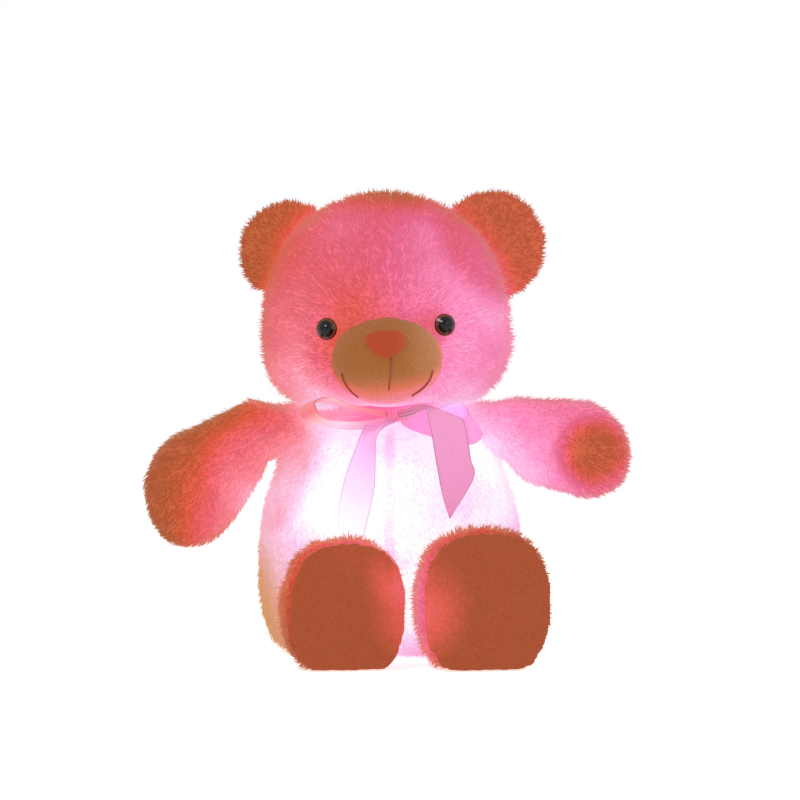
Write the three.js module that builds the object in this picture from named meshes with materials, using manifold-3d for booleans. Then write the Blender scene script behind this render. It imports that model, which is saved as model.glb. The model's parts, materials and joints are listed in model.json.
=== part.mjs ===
// Seated plush bear night light: a stuffed bear with a satin neck bow. A string of LED beads in its stuffing
// is fed by a three-cell battery box, which sits in a cloth pouch behind a zip in the bear's back.
// Sizes are in millimetres. +Z is up, the bear faces -Y, and its own left side is +X.
// The origin is the centre of the flat patch of the body that rests on the table.
import * as THREE from "three";
import { mergeVertices } from "three/addons/utils/BufferGeometryUtils.js";
import Module from "manifold-3d";

const wasm = await Module();
wasm.setup();

const degrees = THREE.MathUtils.degToRad;

// Driving sizes: gaps
const seamGap = 0.3; // between two sewn or seated pieces
const sweepGap = 0.7; // between a limb and what it turns against
const cutOver = 2; // how far a cutting shape runs past the piece that it cuts

// Body
const bodyHalfWidth = 93;
const bodyFrontDepth = 80;
const bodyBackDepth = 66;
const neckHeight = 166; // the plane where the head is sewn to the body
const neckRadius = 50;
const bodyBaseShare = 0.72; // the flat patch that it sits on
const bodyOutlineShares = [
  // share of the half width, share of the neck height
  [0.81, 0],
  [0.93, 0.07],
  [1.0, 0.27],
  [0.985, 0.52],
  [0.89, 0.73],
  [0.71, 0.9],
];

// Head
const headHalfWidth = 86;
const headHalfDepth = 76;
const headHalfHeight = 84;
const headRise = 71; // head centre above the neck plane
const headAside = -3; // head centre beside the neck's axis
const headLean = degrees(2); // towards its right side
const headTurn = degrees(7); // each way
const cheekSwellShare = 0.15;
const cheekHeightShare = -0.62;
const cheekSpreadShare = 0.38;

// Muzzle and nose
const muzzleHalfWidth = 39.5;
const muzzleHalfDepth = 43;
const muzzleHalfHeight = 30.7;
const muzzleForward = 69; // its centre in front of the head's centre
const muzzleDrop = 34;
const noseWidth = 30;
const noseHeight = 21;
const noseDepth = 9;
const noseBevel = 3;
const nosePitch = degrees(18);
const noseSink = 5;

// Eyes: a domed button with a shank, held by a washer inside the head
const eyeRadius = 7.5;
const eyeDome = 4.2;
const eyeRim = 1.2;
const eyeSpacing = 79;
const eyeDrop = 12;
const eyeSink = 1;
const eyeYaw = degrees(20);
const shankRadius = 2;
const shankLength = 12;
const washerRadius = 8;
const washerThickness = 1.6;
const washerSet = 5.5; // from the back of the button to the washer

// Ears: thick rounded discs with dished fronts
const earRadius = { left: 42, right: 39 };
const earThickness = 25;
const earSpread = { left: 74.5, right: 64 };
const earRise = { left: 43, right: 43 };
const earBack = 6;
const earYaw = degrees(12);
const earDishShare = 0.45;

// Arms: each leaves its shoulder sideways, drooping and a little forward, and bends to its paw
const shoulderX = 58;
const shoulderY = 2;
const shoulderHeight = 151;
const shoulderBall = 25;
const armRadius = { left: 34.5, right: 40 };
const armDepthShare = { left: 0.91, right: 0.8 };
const armLength = { left: 121, right: 125 };
const armDroop = { left: degrees(2), right: degrees(24) };
const armForward = { left: degrees(24), right: degrees(12) };
const armSet = { left: -1, right: 6 }; // how far its middle line lies above the shoulder
const armSag = { left: 10, right: 14 }; // how far the paw end bends down
const armReach = { left: 16, right: 6 }; // how far it bends forward
const armOutlineShares = [
  // share of the length, share of the radius
  [0, 0.86],
  [0.22, 0.88],
  [0.45, 0.9],
  [0.62, 0.97],
  [0.74, 1],
  [0.89, 0.8],
  [0.97, 0.45],
];
const armLift = degrees(20);
const armLower = degrees(15);

// Legs: each runs forward along the table to an upright foot
const hipX = 45;
const hipY = -45;
const hipHeight = 40;
const hipBall = 29;
const legLength = 93;
const legRadius = { left: 47.5, right: 43 };
const legYaw = degrees(11.3);
const footTop = { left: 96, right: 89 };
const footUnder = 9; // how much of the rounded foot the table flattens
const footSquareness = 2.7; // 2 is an ellipse, more is squarer
const legOutlineShares = [
  [0, 0.72],
  [0.3, 0.74],
  [0.58, 0.84],
  [0.78, 0.97],
  [0.9, 1],
  [0.97, 0.95],
];
const footEdgeShare = 0.86; // the flat end's radius
const legRise = degrees(15);
const legDrop = degrees(15);
const soleThickness = 3.2;
const soleCrown = 3.5;
const soleShare = 0.93;

// Tail
const tailRadius = 14;
const tailHeight = 17;
const tailProud = 7; // its centre behind the body's back

// Neck ribbon and bow
const ribbonWidth = 25;
const ribbonThickness = 0.8;
const bandHeight = 13;
const creaseReach = 17;
const knotX = 5;
const knotWidth = 13;
const knotHeight = 12;
const knotDepth = 10;
const loopPinchShare = 0.34;
const loopBulge = 13;
const loopLength = { left: 55, right: 59 };
const loopSlope = { left: degrees(-10), right: degrees(2) }; // upwards from the knot
const loopRoll = { left: degrees(8), right: degrees(32) }; // its upper edge towards the front
const loopStandOff = 5.5; // how far its middle stands out over the crease
const hangingStandOff = 3; // how far a hanging end stays off the belly
const hangingOver = { left: 12.5, right: 3 }; // how far it comes out in front of the knot to pass its loop
// The flat outlines of the hanging ends: shares of the ribbon's width, across from the knot and up from it
const leftHangingShares = [
  [0.1, 0.14], [0.3, 0.2], [0.52, 0.26], [0.9, 0.26], [1.5, 0.1], [1.96, -0.06], [2.0, -0.5], [2.06, -1.15],
  [2.09, -1.74], [1.72, -2.24], [1.42, -2.7], [1.28, -2.24], [1.14, -1.6], [1.0, -1.0], [0.88, -0.42],
  [0.6, -0.2], [0.3, -0.14], [0.1, -0.1],
];
const rightHangingShares = [
  [-0.1, 0.1], [-0.1, -0.12], [-0.26, -0.36], [-0.42, -0.95], [-0.53, -1.6], [-0.6, -2.3], [-0.86, -3.22],
  [-1.48, -3.0], [-1.52, -2.3], [-1.28, -1.62], [-1.02, -0.95], [-0.76, -0.36], [-0.5, 0.02],
];
const hangingTurnShares = [0.1, 0.6]; // where it comes forward, across from the knot

// Zip in the back
const zipLength = 90;
const zipFoot = 46; // height of its lower end
const tapeWidth = 11;
const tapeThickness = 0.8;
const tapeEdge = 1.3; // from the zip's middle line to the tape's woven edge
const toothPitch = 4.2;
const toothLap = 1; // how far a tooth's head reaches past the middle line
const toothRoot = 3.2; // from the middle line to the tooth's foot on the tape
const toothHead = 1.5;
const toothNeck = 0.9;
const toothThickness = 2.2;
const zipEndBare = 6; // tape without teeth at each end
const stopLength = 2.4;
const sliderLength = 10;
const sliderHead = 11; // width at its upper end
const sliderHeel = 9.4; // width at its lower end
const sliderPlate = 1.1;
const bailOpening = 2.1;
const bailSpan = 3.6;
const bailWire = 1.2;
const pullLength = 24;
const pullWidth = 7;
const pullThickness = 1.2;
const pullEyeLength = 5.4;
const pullEyeWidth = 2.6;
const sliderEndRoom = 1.5;

// Battery box
const cellRadius = 7.25;
const cellLength = 50.5;
const cellNub = 1;
const cellNubRadius = 2.7;
const cellPitch = 15.4;
const bayLength = 58;
const boxWall = 1.6;
const boxDivider = 5.6; // the block between cells and switch, which takes the lid's screw
const switchBay = 10;
const boxDepth = 18.4;
const boxFoot = 48; // height of its lower end
const ribHeight = 4;
const ribWidth = 1;
const lidThickness = 1.6;
const lidLip = 1.4;
const lidLipWall = 1.2;
const lidTravel = 8; // how far the lid lifts off
const screwRadius = 1.4;
const screwLength = 8;
const screwHeadRadius = 2.7;
const screwHeadHeight = 1.1;
const springBaseRadius = 3.7;
const springTipRadius = 2.3;
const springTurns = 3;
const springWire = 0.8;
const contactThickness = 0.4;
const contactSize = 11;
const knobWidth = 4;
const knobLength = 4;
const knobReach = 1.8;
const knobFlange = 1; // the flange that keeps the knob in: how thick it is, and how far it overhangs
const knobTravel = 3;
const switchHeight = 3;
const switchLength = 9;
const switchWidth = 4.6;
const boardThickness = 1.2;
const boardLength = 34;

// Pouch
const pouchWall = 1.2;
const pouchRoom = lidTravel + 2 * sweepGap; // between the lid and the pouch's mouth
const backSkin = 4; // plush and batting behind the zip's tapes
const slitWidth = 8;

// LED string in the stuffing
const leadRadius = 1.1;
const leadGap = 0.5;
const leadSteps = 34;
const beadRadius = 4;
const leadRiseShare = 0.39; // above the box, of the room between the box and the neck plane
// The lead's route in the stuffing: across, along and, for its height, a share
const leadOverBox = [[2, 24, 0.47], [-18, 2, 0.37]]; // of the room between the box and the neck plane
const leadRound = [
  // of the neck height
  [-42, -18, 0.675], [-46, -34, 0.494], [-26, -48, 0.337], [8, -52, 0.301], [38, -40, 0.398],
  [48, -26, 0.578], [30, -26, 0.759], [10, -30, 0.819],
];
const beadShares = [0.34, 0.48, 0.62, 0.75, 0.88, 0.985]; // along the lead

// Facets
const roundSegments = 30;
const wireSides = 5;
const weldDistance = 1e-4; // points nearer than this are one point

const colours = {
  fur: 0xf19ab4, paw: 0xb0573a, muzzle: 0xc08a55, nose: 0xc4512c, eye: 0x1c1210, washer: 0xf2f2ee,
  ribbon: 0xf49ac8, zip: 0xe88fb0, pull: 0xc9c9cc, pouch: 0xf3d9e2, box: 0xf4f4f0, cell: 0x3a6ea8,
  metal: 0xc8c8c4, board: 0x2c7a4a, knob: 0x222222, lead: 0xf0e6e6, bead: 0xfff2f6,
};
const sides = { left: 1, right: -1 };

const yAxis = new THREE.Vector3(0, 1, 0);
const zAxis = new THREE.Vector3(0, 0, 1);
const at = (x, y, z) => new THREE.Matrix4().makeTranslation(x, y, z);
const turn = (pivot, axis, angle) =>
  at(pivot.x, pivot.y, pivot.z)
    .multiply(new THREE.Matrix4().makeRotationAxis(axis, angle))
    .multiply(at(-pivot.x, -pivot.y, -pivot.z));
const placeOf = (matrix) => new THREE.Vector3().setFromMatrixPosition(matrix);

// A closed three.js geometry as a solid whose faces point out.
function solidOf(geometry) {
  const bare = geometry.clone();
  for (const name of Object.keys(bare.attributes)) if (name !== "position") bare.deleteAttribute(name);
  const merged = mergeVertices(bare, weldDistance);
  const corners = merged.index.array;
  const kept = [];
  for (let i = 0; i < corners.length; i += 3) {
    const [a, b, c] = [corners[i], corners[i + 1], corners[i + 2]];
    if (a !== b && b !== c && c !== a) kept.push(a, b, c);
  }
  const build = (order) =>
    new wasm.Manifold(
      new wasm.Mesh({
        numProp: 3,
        vertProperties: new Float32Array(merged.attributes.position.array),
        triVerts: new Uint32Array(order),
      }),
    );
  const made = build(kept);
  return made.volume() > 0 ? made : build(kept.reverse());
}

// A solid's vertices and triangles back as a three.js geometry.
function geometryOf(solid) {
  const mesh = solid.getMesh();
  const places = new Float32Array(mesh.numVert * 3);
  for (let i = 0; i < mesh.numVert; i++) {
    places.set(mesh.vertProperties.subarray(i * mesh.numProp, i * mesh.numProp + 3), i * 3);
  }
  const geometry = new THREE.BufferGeometry();
  geometry.setAttribute("position", new THREE.BufferAttribute(places, 3));
  geometry.setIndex(new THREE.BufferAttribute(mesh.triVerts, 1));
  geometry.computeVertexNormals();
  return geometry;
}

const moved = (solid, matrix) => solid.transform(matrix.elements);
const cut = (solid, cutters) => cutters.reduce((left, cutter) => left.subtract(cutter), solid);
const joined = (solids) => solids.reduce((all, solid) => all.add(solid));
// The biggest piece of a solid that its cuts have split
const biggest = (solid) => solid.decompose().sort((a, b) => b.volume() - a.volume())[0];

function reshape(geometry, place) {
  const points = geometry.attributes.position;
  const p = new THREE.Vector3();
  for (let i = 0; i < points.count; i++) {
    p.fromBufferAttribute(points, i);
    place(p);
    points.setXYZ(i, p.x, p.y, p.z);
  }
  return geometry;
}

const ball = (radius, x, y, z, around, rings) =>
  solidOf(new THREE.SphereGeometry(radius, around, rings).rotateX(Math.PI / 2).translate(x, y, z));

// The rounded end that a limb turns on. Its poles lie on the axis, so that its facets clear the socket's.
function jointBall(radius, { pivot, axis }) {
  const sphere = new THREE.SphereGeometry(radius, 24, 8);
  sphere.applyQuaternion(new THREE.Quaternion().setFromUnitVectors(yAxis, axis));
  return solidOf(sphere.translate(pivot.x, pivot.y, pivot.z));
}

const block = (width, depth, height, x = 0, y = 0, z = 0) =>
  solidOf(new THREE.BoxGeometry(width, depth, height).translate(x, y, z));

// A lathe about +Z. Its profile is in [radius, height].
const upright = (profile, segments = roundSegments) =>
  new THREE.LatheGeometry(profile.map(([r, h]) => new THREE.Vector2(r, h)), segments).rotateX(Math.PI / 2);

// A round wire along a curve
function tubeForm(curve, radius, steps) {
  const rim = new THREE.EllipseCurve(0, 0, radius, radius).getPoints(wireSides).slice(1);
  const settings = { steps, extrudePath: curve, bevelEnabled: false };
  return solidOf(new THREE.ExtrudeGeometry(new THREE.Shape(rim), settings));
}

const group = new THREE.Group();

// Adds a solid, given in the bear's frame, as a named mesh of a part of the scene.
function add(parent, name, solid, colour, roughness = 0.95, metalness = 0) {
  const material = new THREE.MeshStandardMaterial({ color: colour, roughness, metalness });
  parent.updateWorldMatrix(true, false);
  const mesh = new THREE.Mesh(geometryOf(moved(solid, parent.matrixWorld.clone().invert())), material);
  mesh.name = name;
  parent.add(mesh);
}

function framed(matrix) {
  const part = new THREE.Group();
  part.applyMatrix4(matrix);
  group.add(part);
  return part;
}

// Body: a pear of stuffing, fuller in front than behind, and round where it meets the neck
const bodyOutline = new THREE.SplineCurve(
  [...bodyOutlineShares, [neckRadius / bodyHalfWidth, 1]].map(
    ([r, h]) => new THREE.Vector2(r * bodyHalfWidth, h * neckHeight),
  ),
).getPoints(15);

// How far the body reaches at a height, towards the front (-1) or the back (+1) from its outline's radius.
function bodySquash(towards, height) {
  const flat = (towards < 0 ? bodyFrontDepth : bodyBackDepth) / bodyHalfWidth;
  return THREE.MathUtils.lerp(flat, 1, THREE.MathUtils.smoothstep(height / neckHeight, 0.35, 1));
}

function bodyReach(height) {
  const above = bodyOutline.findIndex((p) => p.y >= height);
  if (above < 1) return bodyOutline[0].x;
  const [low, high] = [bodyOutline[above - 1], bodyOutline[above]];
  return THREE.MathUtils.lerp(low.x, high.x, (height - low.y) / (high.y - low.y));
}
const backAt = (height) => bodyReach(height) * bodySquash(1, height);

function bellyAt(x, height) {
  const reach = bodyReach(height);
  return -Math.sqrt(Math.max(0, 1 - (x / reach) ** 2)) * reach * bodySquash(-1, height);
}

function bodyForm(grow) {
  const profile = bodyOutline.map((p) => [p.x + grow, p.y]);
  const base = bodyBaseShare * bodyHalfWidth + grow;
  const lathe = upright([[0, -grow], [base, -grow], ...profile, [0, neckHeight]]);
  return solidOf(reshape(lathe, (p) => (p.y *= bodySquash(p.y, p.z))));
}

// Head: an ellipsoid with full cheeks, trimmed flat at the neck plane
const headCentre = new THREE.Vector3(headAside, 0, neckHeight + headRise);
const headFrame = turn(headCentre, yAxis, -headLean);
const cheekAt = (z) => 1 + cheekSwellShare * Math.exp(-(((z - cheekHeightShare) / cheekSpreadShare) ** 2));

function headForm(grow) {
  const sphere = new THREE.SphereGeometry(1, roundSegments, 20).rotateX(Math.PI / 2);
  reshape(sphere, (p) => {
    const swell = cheekAt(p.z);
    p.x *= (headHalfWidth + grow) * swell;
    p.y *= (headHalfDepth + grow) * swell;
    p.z *= headHalfHeight + grow;
    p.add(headCentre);
  });
  return moved(solidOf(sphere), headFrame);
}

// The head's front at a place across and above its centre, before its lean.
function faceAt(x, z) {
  const high = z / headHalfHeight;
  const swell = cheekAt(high);
  return -headHalfDepth * swell * Math.sqrt(1 - high ** 2 - (x / (headHalfWidth * swell)) ** 2);
}

const neckPivot = new THREE.Vector3(0, 0, neckHeight);
const aboveNeck = (solid) => solid.trimByPlane([0, 0, 1], neckHeight + seamGap / 2);
const belowNeck = (solid) => solid.trimByPlane([0, 0, -1], -(neckHeight - seamGap / 2));

// A square-sided ring about the neck's axis
function neckRing(inner, outer, height, segments) {
  const [low, high] = [neckHeight - height / 2, neckHeight + height / 2];
  return solidOf(upright([[inner, low], [outer, low], [outer, high], [inner, high], [inner, low]], segments));
}
const bandOuter = neckRadius + seamGap + ribbonThickness;
const neckCrease = neckRing(neckRadius, neckRadius + creaseReach, bandHeight + 2 * seamGap, roundSegments);
const grownHead = headForm(seamGap);
const headSweep = [-headTurn, 0, headTurn].map((angle) =>
  moved(aboveNeck(headForm(sweepGap)), turn(neckPivot, zAxis, angle)),
);

// Muzzle
const muzzleCentre = new THREE.Vector3(headAside, -muzzleForward, headCentre.z - muzzleDrop);
function muzzleForm(grow) {
  const sphere = new THREE.SphereGeometry(1, 24, 14).rotateX(Math.PI / 2);
  reshape(sphere, (p) => {
    p.x *= muzzleHalfWidth + grow;
    p.y *= muzzleHalfDepth + grow;
    p.z *= muzzleHalfHeight + grow;
    p.add(muzzleCentre);
  });
  return moved(solidOf(sphere), headFrame);
}

// Nose: a soft rounded triangle, broad side up, tipped back on the muzzle
function noseForm() {
  const [w, h] = [noseWidth / 2, noseHeight / 2];
  const outline = new THREE.Shape();
  outline.moveTo(0, -h);
  outline.bezierCurveTo(w * 0.45, -h, w, -h * 0.1, w, h * 0.35);
  outline.bezierCurveTo(w, h * 0.85, w * 0.5, h, 0, h);
  outline.bezierCurveTo(-w * 0.5, h, -w, h * 0.85, -w, h * 0.35);
  outline.bezierCurveTo(-w, -h * 0.1, -w * 0.45, -h, 0, -h);
  const pad = new THREE.ExtrudeGeometry(outline, {
    depth: noseDepth - noseBevel,
    bevelThickness: noseBevel,
    bevelSize: noseBevel,
    bevelOffset: -noseBevel,
    bevelSegments: 2,
    curveSegments: 5,
  });
  pad.rotateX(Math.PI / 2).rotateX(-nosePitch);
  const seat = new THREE.Vector3(
    0,
    -Math.cos(nosePitch) * (muzzleHalfDepth - noseSink),
    Math.sin(nosePitch) * (muzzleHalfHeight - noseSink),
  ).add(muzzleCentre);
  return moved(solidOf(pad.translate(seat.x, seat.y, seat.z)), headFrame);
}

// Eyes. In its own frame a button faces +Z and its shank runs to -Z.
function eyeFrame(side) {
  const x = (side * eyeSpacing) / 2;
  return headFrame
    .clone()
    .multiply(at(headAside + x, faceAt(x, -eyeDrop) + eyeSink, headCentre.z - eyeDrop))
    .multiply(new THREE.Matrix4().makeRotationZ(side * eyeYaw))
    .multiply(new THREE.Matrix4().makeRotationX(Math.PI / 2));
}

function eyeForm(grow, segments) {
  const steps = 4;
  const dome = Array.from({ length: steps }, (_, i) => {
    const angle = ((i / steps) * Math.PI) / 2;
    return [(eyeRadius + grow) * Math.cos(angle), eyeRim + (eyeDome + grow) * Math.sin(angle)];
  });
  const profile = [
    [0, -shankLength - grow],
    [shankRadius + grow, -shankLength - grow],
    [shankRadius + grow, -grow],
    [eyeRadius + grow, -grow],
    ...dome,
    [0, eyeRim + eyeDome + grow],
  ];
  return solidOf(upright(profile, segments));
}

const [washerLow, washerHigh] = [-washerSet - washerThickness, -washerSet];
function washerForm() {
  const hole = shankRadius + seamGap;
  const profile = [
    [hole, washerLow],
    [washerRadius, washerLow],
    [washerRadius, washerHigh],
    [hole, washerHigh],
    [hole, washerLow],
  ];
  return solidOf(upright(profile, 12));
}
// The room that a button and its washer take in the head
function eyeWell() {
  const [bore, seat] = [shankRadius + seamGap, washerRadius + seamGap];
  const profile = [
    [0, -shankLength - seamGap],
    [bore, -shankLength - seamGap],
    [bore, washerLow - seamGap],
    [seat, washerLow - seamGap],
    [seat, washerHigh + seamGap],
    [bore, washerHigh + seamGap],
    [bore, -seamGap],
    [eyeRadius + seamGap, -seamGap],
    [eyeRadius + seamGap, eyeDome + cutOver],
    [0, eyeDome + cutOver],
  ];
  return solidOf(upright(profile, 16));
}

function earForm(name, side) {
  const sphere = new THREE.SphereGeometry(1, 20, 10);
  reshape(sphere, (p) => {
    const dish = p.y < 0 ? 1 - earDishShare * (1 - p.x * p.x - p.z * p.z) : 1;
    p.set(p.x * earRadius[name], (p.y * earThickness * dish) / 2, p.z * earRadius[name]);
  });
  sphere.rotateZ(-side * earYaw);
  sphere.translate(headAside + side * earSpread[name], earBack, headCentre.z + earRise[name]);
  return moved(solidOf(sphere), headFrame);
}

// A limb is a lathe along local +X with its root at the origin.
function limbForm(length, radius, shares, tip) {
  const outline = new THREE.SplineCurve(shares.map(([s, r]) => new THREE.Vector2(r * radius, s * length)));
  const profile = [[0, 0], ...outline.getPoints(8).map((p) => [p.x, p.y]), ...tip];
  return reshape(upright(profile, 22), (p) => p.set(p.z, p.y, p.x));
}

// A joint of a limb: where it turns, about what, and the frame whose +X runs along the limb.
function limbJoint(pivot, out, droop) {
  const axis = new THREE.Vector3(out.y, -out.x, 0);
  const frame = at(pivot.x, pivot.y, pivot.z)
    .multiply(new THREE.Matrix4().makeRotationAxis(axis, -droop))
    .multiply(new THREE.Matrix4().makeRotationZ(Math.atan2(out.y, out.x)));
  return { pivot, axis, frame };
}
const shoulders = {};
const hips = {};
for (const [name, side] of Object.entries(sides)) {
  const forward = armForward[name];
  shoulders[name] = limbJoint(
    new THREE.Vector3(side * shoulderX, shoulderY, shoulderHeight),
    new THREE.Vector3(side * Math.cos(forward), -Math.sin(forward), 0),
    armDroop[name],
  );
  hips[name] = limbJoint(
    new THREE.Vector3(side * hipX, hipY, hipHeight),
    new THREE.Vector3(Math.sin(legYaw), -Math.cos(legYaw), 0),
    0,
  );
}

function armForm(name, side) {
  const length = armLength[name];
  const arm = limbForm(length, armRadius[name], armOutlineShares, [[0, length]]);
  return solidOf(
    reshape(arm, (p) => {
      const bent = (p.x / length) ** 2;
      p.y = p.y * armDepthShare[name] - side * armReach[name] * bent;
      p.z += armSet[name] - armSag[name] * bent;
    }),
  );
}

// Turns a round cross-section into the foot's squarer one, flattened later by the table.
function footSection(p, name) {
  const foot = THREE.MathUtils.smoothstep(p.x / legLength, 0.35, 0.9);
  const half = (footTop[name] + footUnder) / 2;
  const radius = Math.hypot(p.y, p.z);
  if (radius > 0) {
    const power = THREE.MathUtils.lerp(2, footSquareness, foot);
    const [across, up] = [Math.abs(p.y) / radius, Math.abs(p.z) / radius];
    const square = (across ** power + up ** power) ** (-1 / power);
    p.y *= square;
    p.z *= square * THREE.MathUtils.lerp(1, half / legRadius[name], foot);
  }
  p.z += foot * (half - footUnder - hipHeight);
}

function legForm(name) {
  const tip = [[legRadius[name] * footEdgeShare, legLength], [0, legLength]];
  const leg = limbForm(legLength, legRadius[name], legOutlineShares, tip);
  return solidOf(reshape(leg, (p) => footSection(p, name)));
}

// The sole is a crowned pad of short pile on the end of the foot.
function soleForm(name) {
  const root = legLength + seamGap;
  const rim = legRadius[name] * soleShare;
  const pad = upright(
    [
      [0, root],
      [rim * 0.97, root],
      [rim, root + soleThickness / 2],
      [rim * 0.9, root + soleThickness],
      [rim * 0.5, root + soleThickness + soleCrown * 0.75],
      [0, root + soleThickness + soleCrown],
    ],
    22,
  );
  reshape(pad, (p) => {
    p.set(p.z, p.y, p.x);
    footSection(p, name);
  });
  return solidOf(pad);
}

// Everything that a turning piece passes, in that piece's own view: the piece stays and they turn back.
function sweepOf(solids, { pivot, axis }, up, down) {
  return [up, up / 2, 0, -down / 2, -down].flatMap((angle) =>
    solids.map((solid) => moved(solid, turn(pivot, axis, -angle))),
  );
}

// Zip frame: the zip's middle on the back, +Y out of the back and +Z up the zip. The stiff zip flattens the
// back between its two ends.
const zipPlane = Math.min(backAt(zipFoot), backAt(zipFoot + zipLength));
const zipFrame = at(0, zipPlane, zipFoot + zipLength / 2);
const flatForm = block(2 * bodyHalfWidth, bodyBackDepth, 2 * neckHeight, 0, bodyBackDepth / 2, 0);
const backFlat = moved(flatForm, zipFrame);

// Battery box frame: the middle of its case, +Y out of the lid
const boxLength = bayLength + boxDivider + switchBay + 2 * boxWall;
const boxWidth = 2 * cellPitch + 2 * cellRadius + 2 * boxWall + 2 * seamGap;
const lidBehind = backSkin + seamGap + pouchRoom; // the lid's outer face, from the zip inwards
const boxBehind = lidBehind + lidThickness + seamGap + boxDepth / 2;
const boxFrame = at(0, placeOf(zipFrame).y - boxBehind, boxFoot + boxLength / 2);
const [boxBack, boxFace] = [-boxDepth / 2, boxDepth / 2];
const [boxLow, boxHigh] = [-boxLength / 2, boxLength / 2];
const bayMiddle = boxLow + boxWall + bayLength / 2;
const switchMiddle = boxHigh - boxWall - switchBay / 2;
const dividerMiddle = bayMiddle + bayLength / 2 + boxDivider / 2;

// The pouch, and the room that it fills: grow is how far outside the pouch's cloth
const pouchInner = seamGap;
const pouchMouth = boxFace + seamGap + lidThickness + pouchRoom;
function pouchBlock(offset, mouth) {
  const back = boxBack - offset;
  return block(boxWidth + 2 * offset, mouth - back, boxLength + 2 * offset, 0, (mouth + back) / 2, 0);
}

// LED lead: soldered to the switch board, up out of the box and the pouch, then round the stuffing
const boardFace = boxFace - boxWall - seamGap - knobFlange - seamGap - switchHeight - boardThickness;
const leadX = boardLength / 2 - leadRadius - cutOver;
const leadRoom = neckHeight - boxFoot - boxLength; // above the box
const leadRise = leadRoom * leadRiseShare;
const leadStart = [switchMiddle - switchBay / 4, switchMiddle + switchBay / 2, boxHigh + leadRise].map((z) =>
  new THREE.Vector3(leadX, boardFace - seamGap - leadRadius, z).applyMatrix4(boxFrame),
);
const leadRoute = [
  ...leadOverBox.map(([x, y, share]) => new THREE.Vector3(x, y, neckHeight - leadRoom * (1 - share))),
  ...leadRound.map(([x, y, share]) => new THREE.Vector3(x, y, neckHeight * share)),
];
const leadCurve = new THREE.CatmullRomCurve3([...leadStart, ...leadRoute], false, "centripetal");
const leadForm = (radius) => tubeForm(leadCurve, radius, leadSteps);
const beadPlaces = beadShares.map((share) => leadCurve.getPointAt(share));
const beadForms = (radius) => beadPlaces.map((p) => ball(radius, p.x, p.y, p.z, 8, 6));

// The room in the stuffing: the pouch's pocket, the slit to it between the tapes, the lead's way, the beads
const pocket = [
  moved(pouchBlock(pouchInner + pouchWall + seamGap, pouchMouth + seamGap), boxFrame),
  moved(block(slitWidth, backSkin + 2 * cutOver, zipLength - 2 * zipEndBare, 0, -backSkin / 2, 0), zipFrame),
  leadForm(leadRadius + leadGap),
  ...beadForms(beadRadius + leadGap),
];

function addBody() {
  const balls = [
    ...Object.values(shoulders).map((joint) => jointBall(shoulderBall, joint)),
    ...Object.values(hips).map((joint) => jointBall(hipBall, joint)),
  ];
  const stuffed = joined([belowNeck(bodyForm(0)).subtract(backFlat), ...balls]);
  add(group, "body", cut(stuffed, [neckCrease, ...headSweep, ...pocket]), colours.fur);
  const backPlane = placeOf(zipFrame).y + seamGap;
  const grown = bodyForm(seamGap).trimByPlane([0, -1, 0], -backPlane);
  const tail = ball(tailRadius, 0, backPlane + tailProud, tailHeight, 16, 10);
  add(group, "tail", tail.subtract(grown), colours.fur);
}

function addHead() {
  const head = framed(at(neckPivot.x, neckPivot.y, neckPivot.z));
  const wells = Object.values(sides).map((side) => moved(eyeWell(), eyeFrame(side)));
  add(head, "head", cut(aboveNeck(headForm(0)), [neckCrease, ...wells]), colours.fur);
  add(head, "muzzle", cut(muzzleForm(0), [grownHead, neckCrease]), colours.muzzle, 0.9);
  add(head, "nose", noseForm().subtract(muzzleForm(seamGap)), colours.nose, 0.6);
  for (const [name, side] of Object.entries(sides)) {
    add(head, `ear_${name}`, earForm(name, side).subtract(grownHead), colours.fur);
    add(head, `eye_${name}`, moved(eyeForm(0, 18), eyeFrame(side)), colours.eye, 0.08);
    add(head, `eye_washer_${name}`, moved(washerForm(), eyeFrame(side)), colours.washer, 0.5);
  }
}

function addLimbs() {
  const bodyTurnedOn = belowNeck(bodyForm(sweepGap));
  const bandTurnedOn = neckRing(neckRadius, bandOuter + sweepGap, bandHeight + 2 * sweepGap, roundSegments);
  for (const [name, side] of Object.entries(sides)) {
    const shoulder = shoulders[name];
    const arm = framed(shoulder.frame);
    const armCutters = [
      jointBall(shoulderBall + sweepGap, shoulder),
      ...sweepOf([bodyTurnedOn, bandTurnedOn, ...headSweep], shoulder, armLift, armLower),
    ];
    const sleeve = moved(armForm(name, side), shoulder.frame);
    add(arm, `arm_${name}`, biggest(cut(sleeve, armCutters)), colours.fur);

    const hip = hips[name];
    const leg = framed(hip.frame);
    const legCutters = [
      jointBall(hipBall + sweepGap, hip),
      ...sweepOf([bodyTurnedOn], hip, legRise, legDrop),
    ];
    const onTable = moved(legForm(name), hip.frame).trimByPlane([0, 0, 1], 0);
    add(leg, `leg_${name}`, cut(onTable, legCutters), colours.fur);
    const sole = moved(soleForm(name), hip.frame).trimByPlane([0, 0, 1], seamGap);
    add(leg, `sole_${name}`, sole, colours.paw);
  }
}

// Bow: its knot stands in front of the neck band
const bowCentre = new THREE.Vector3(knotX, -bandOuter - seamGap - knotDepth / 2, neckHeight);

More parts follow.
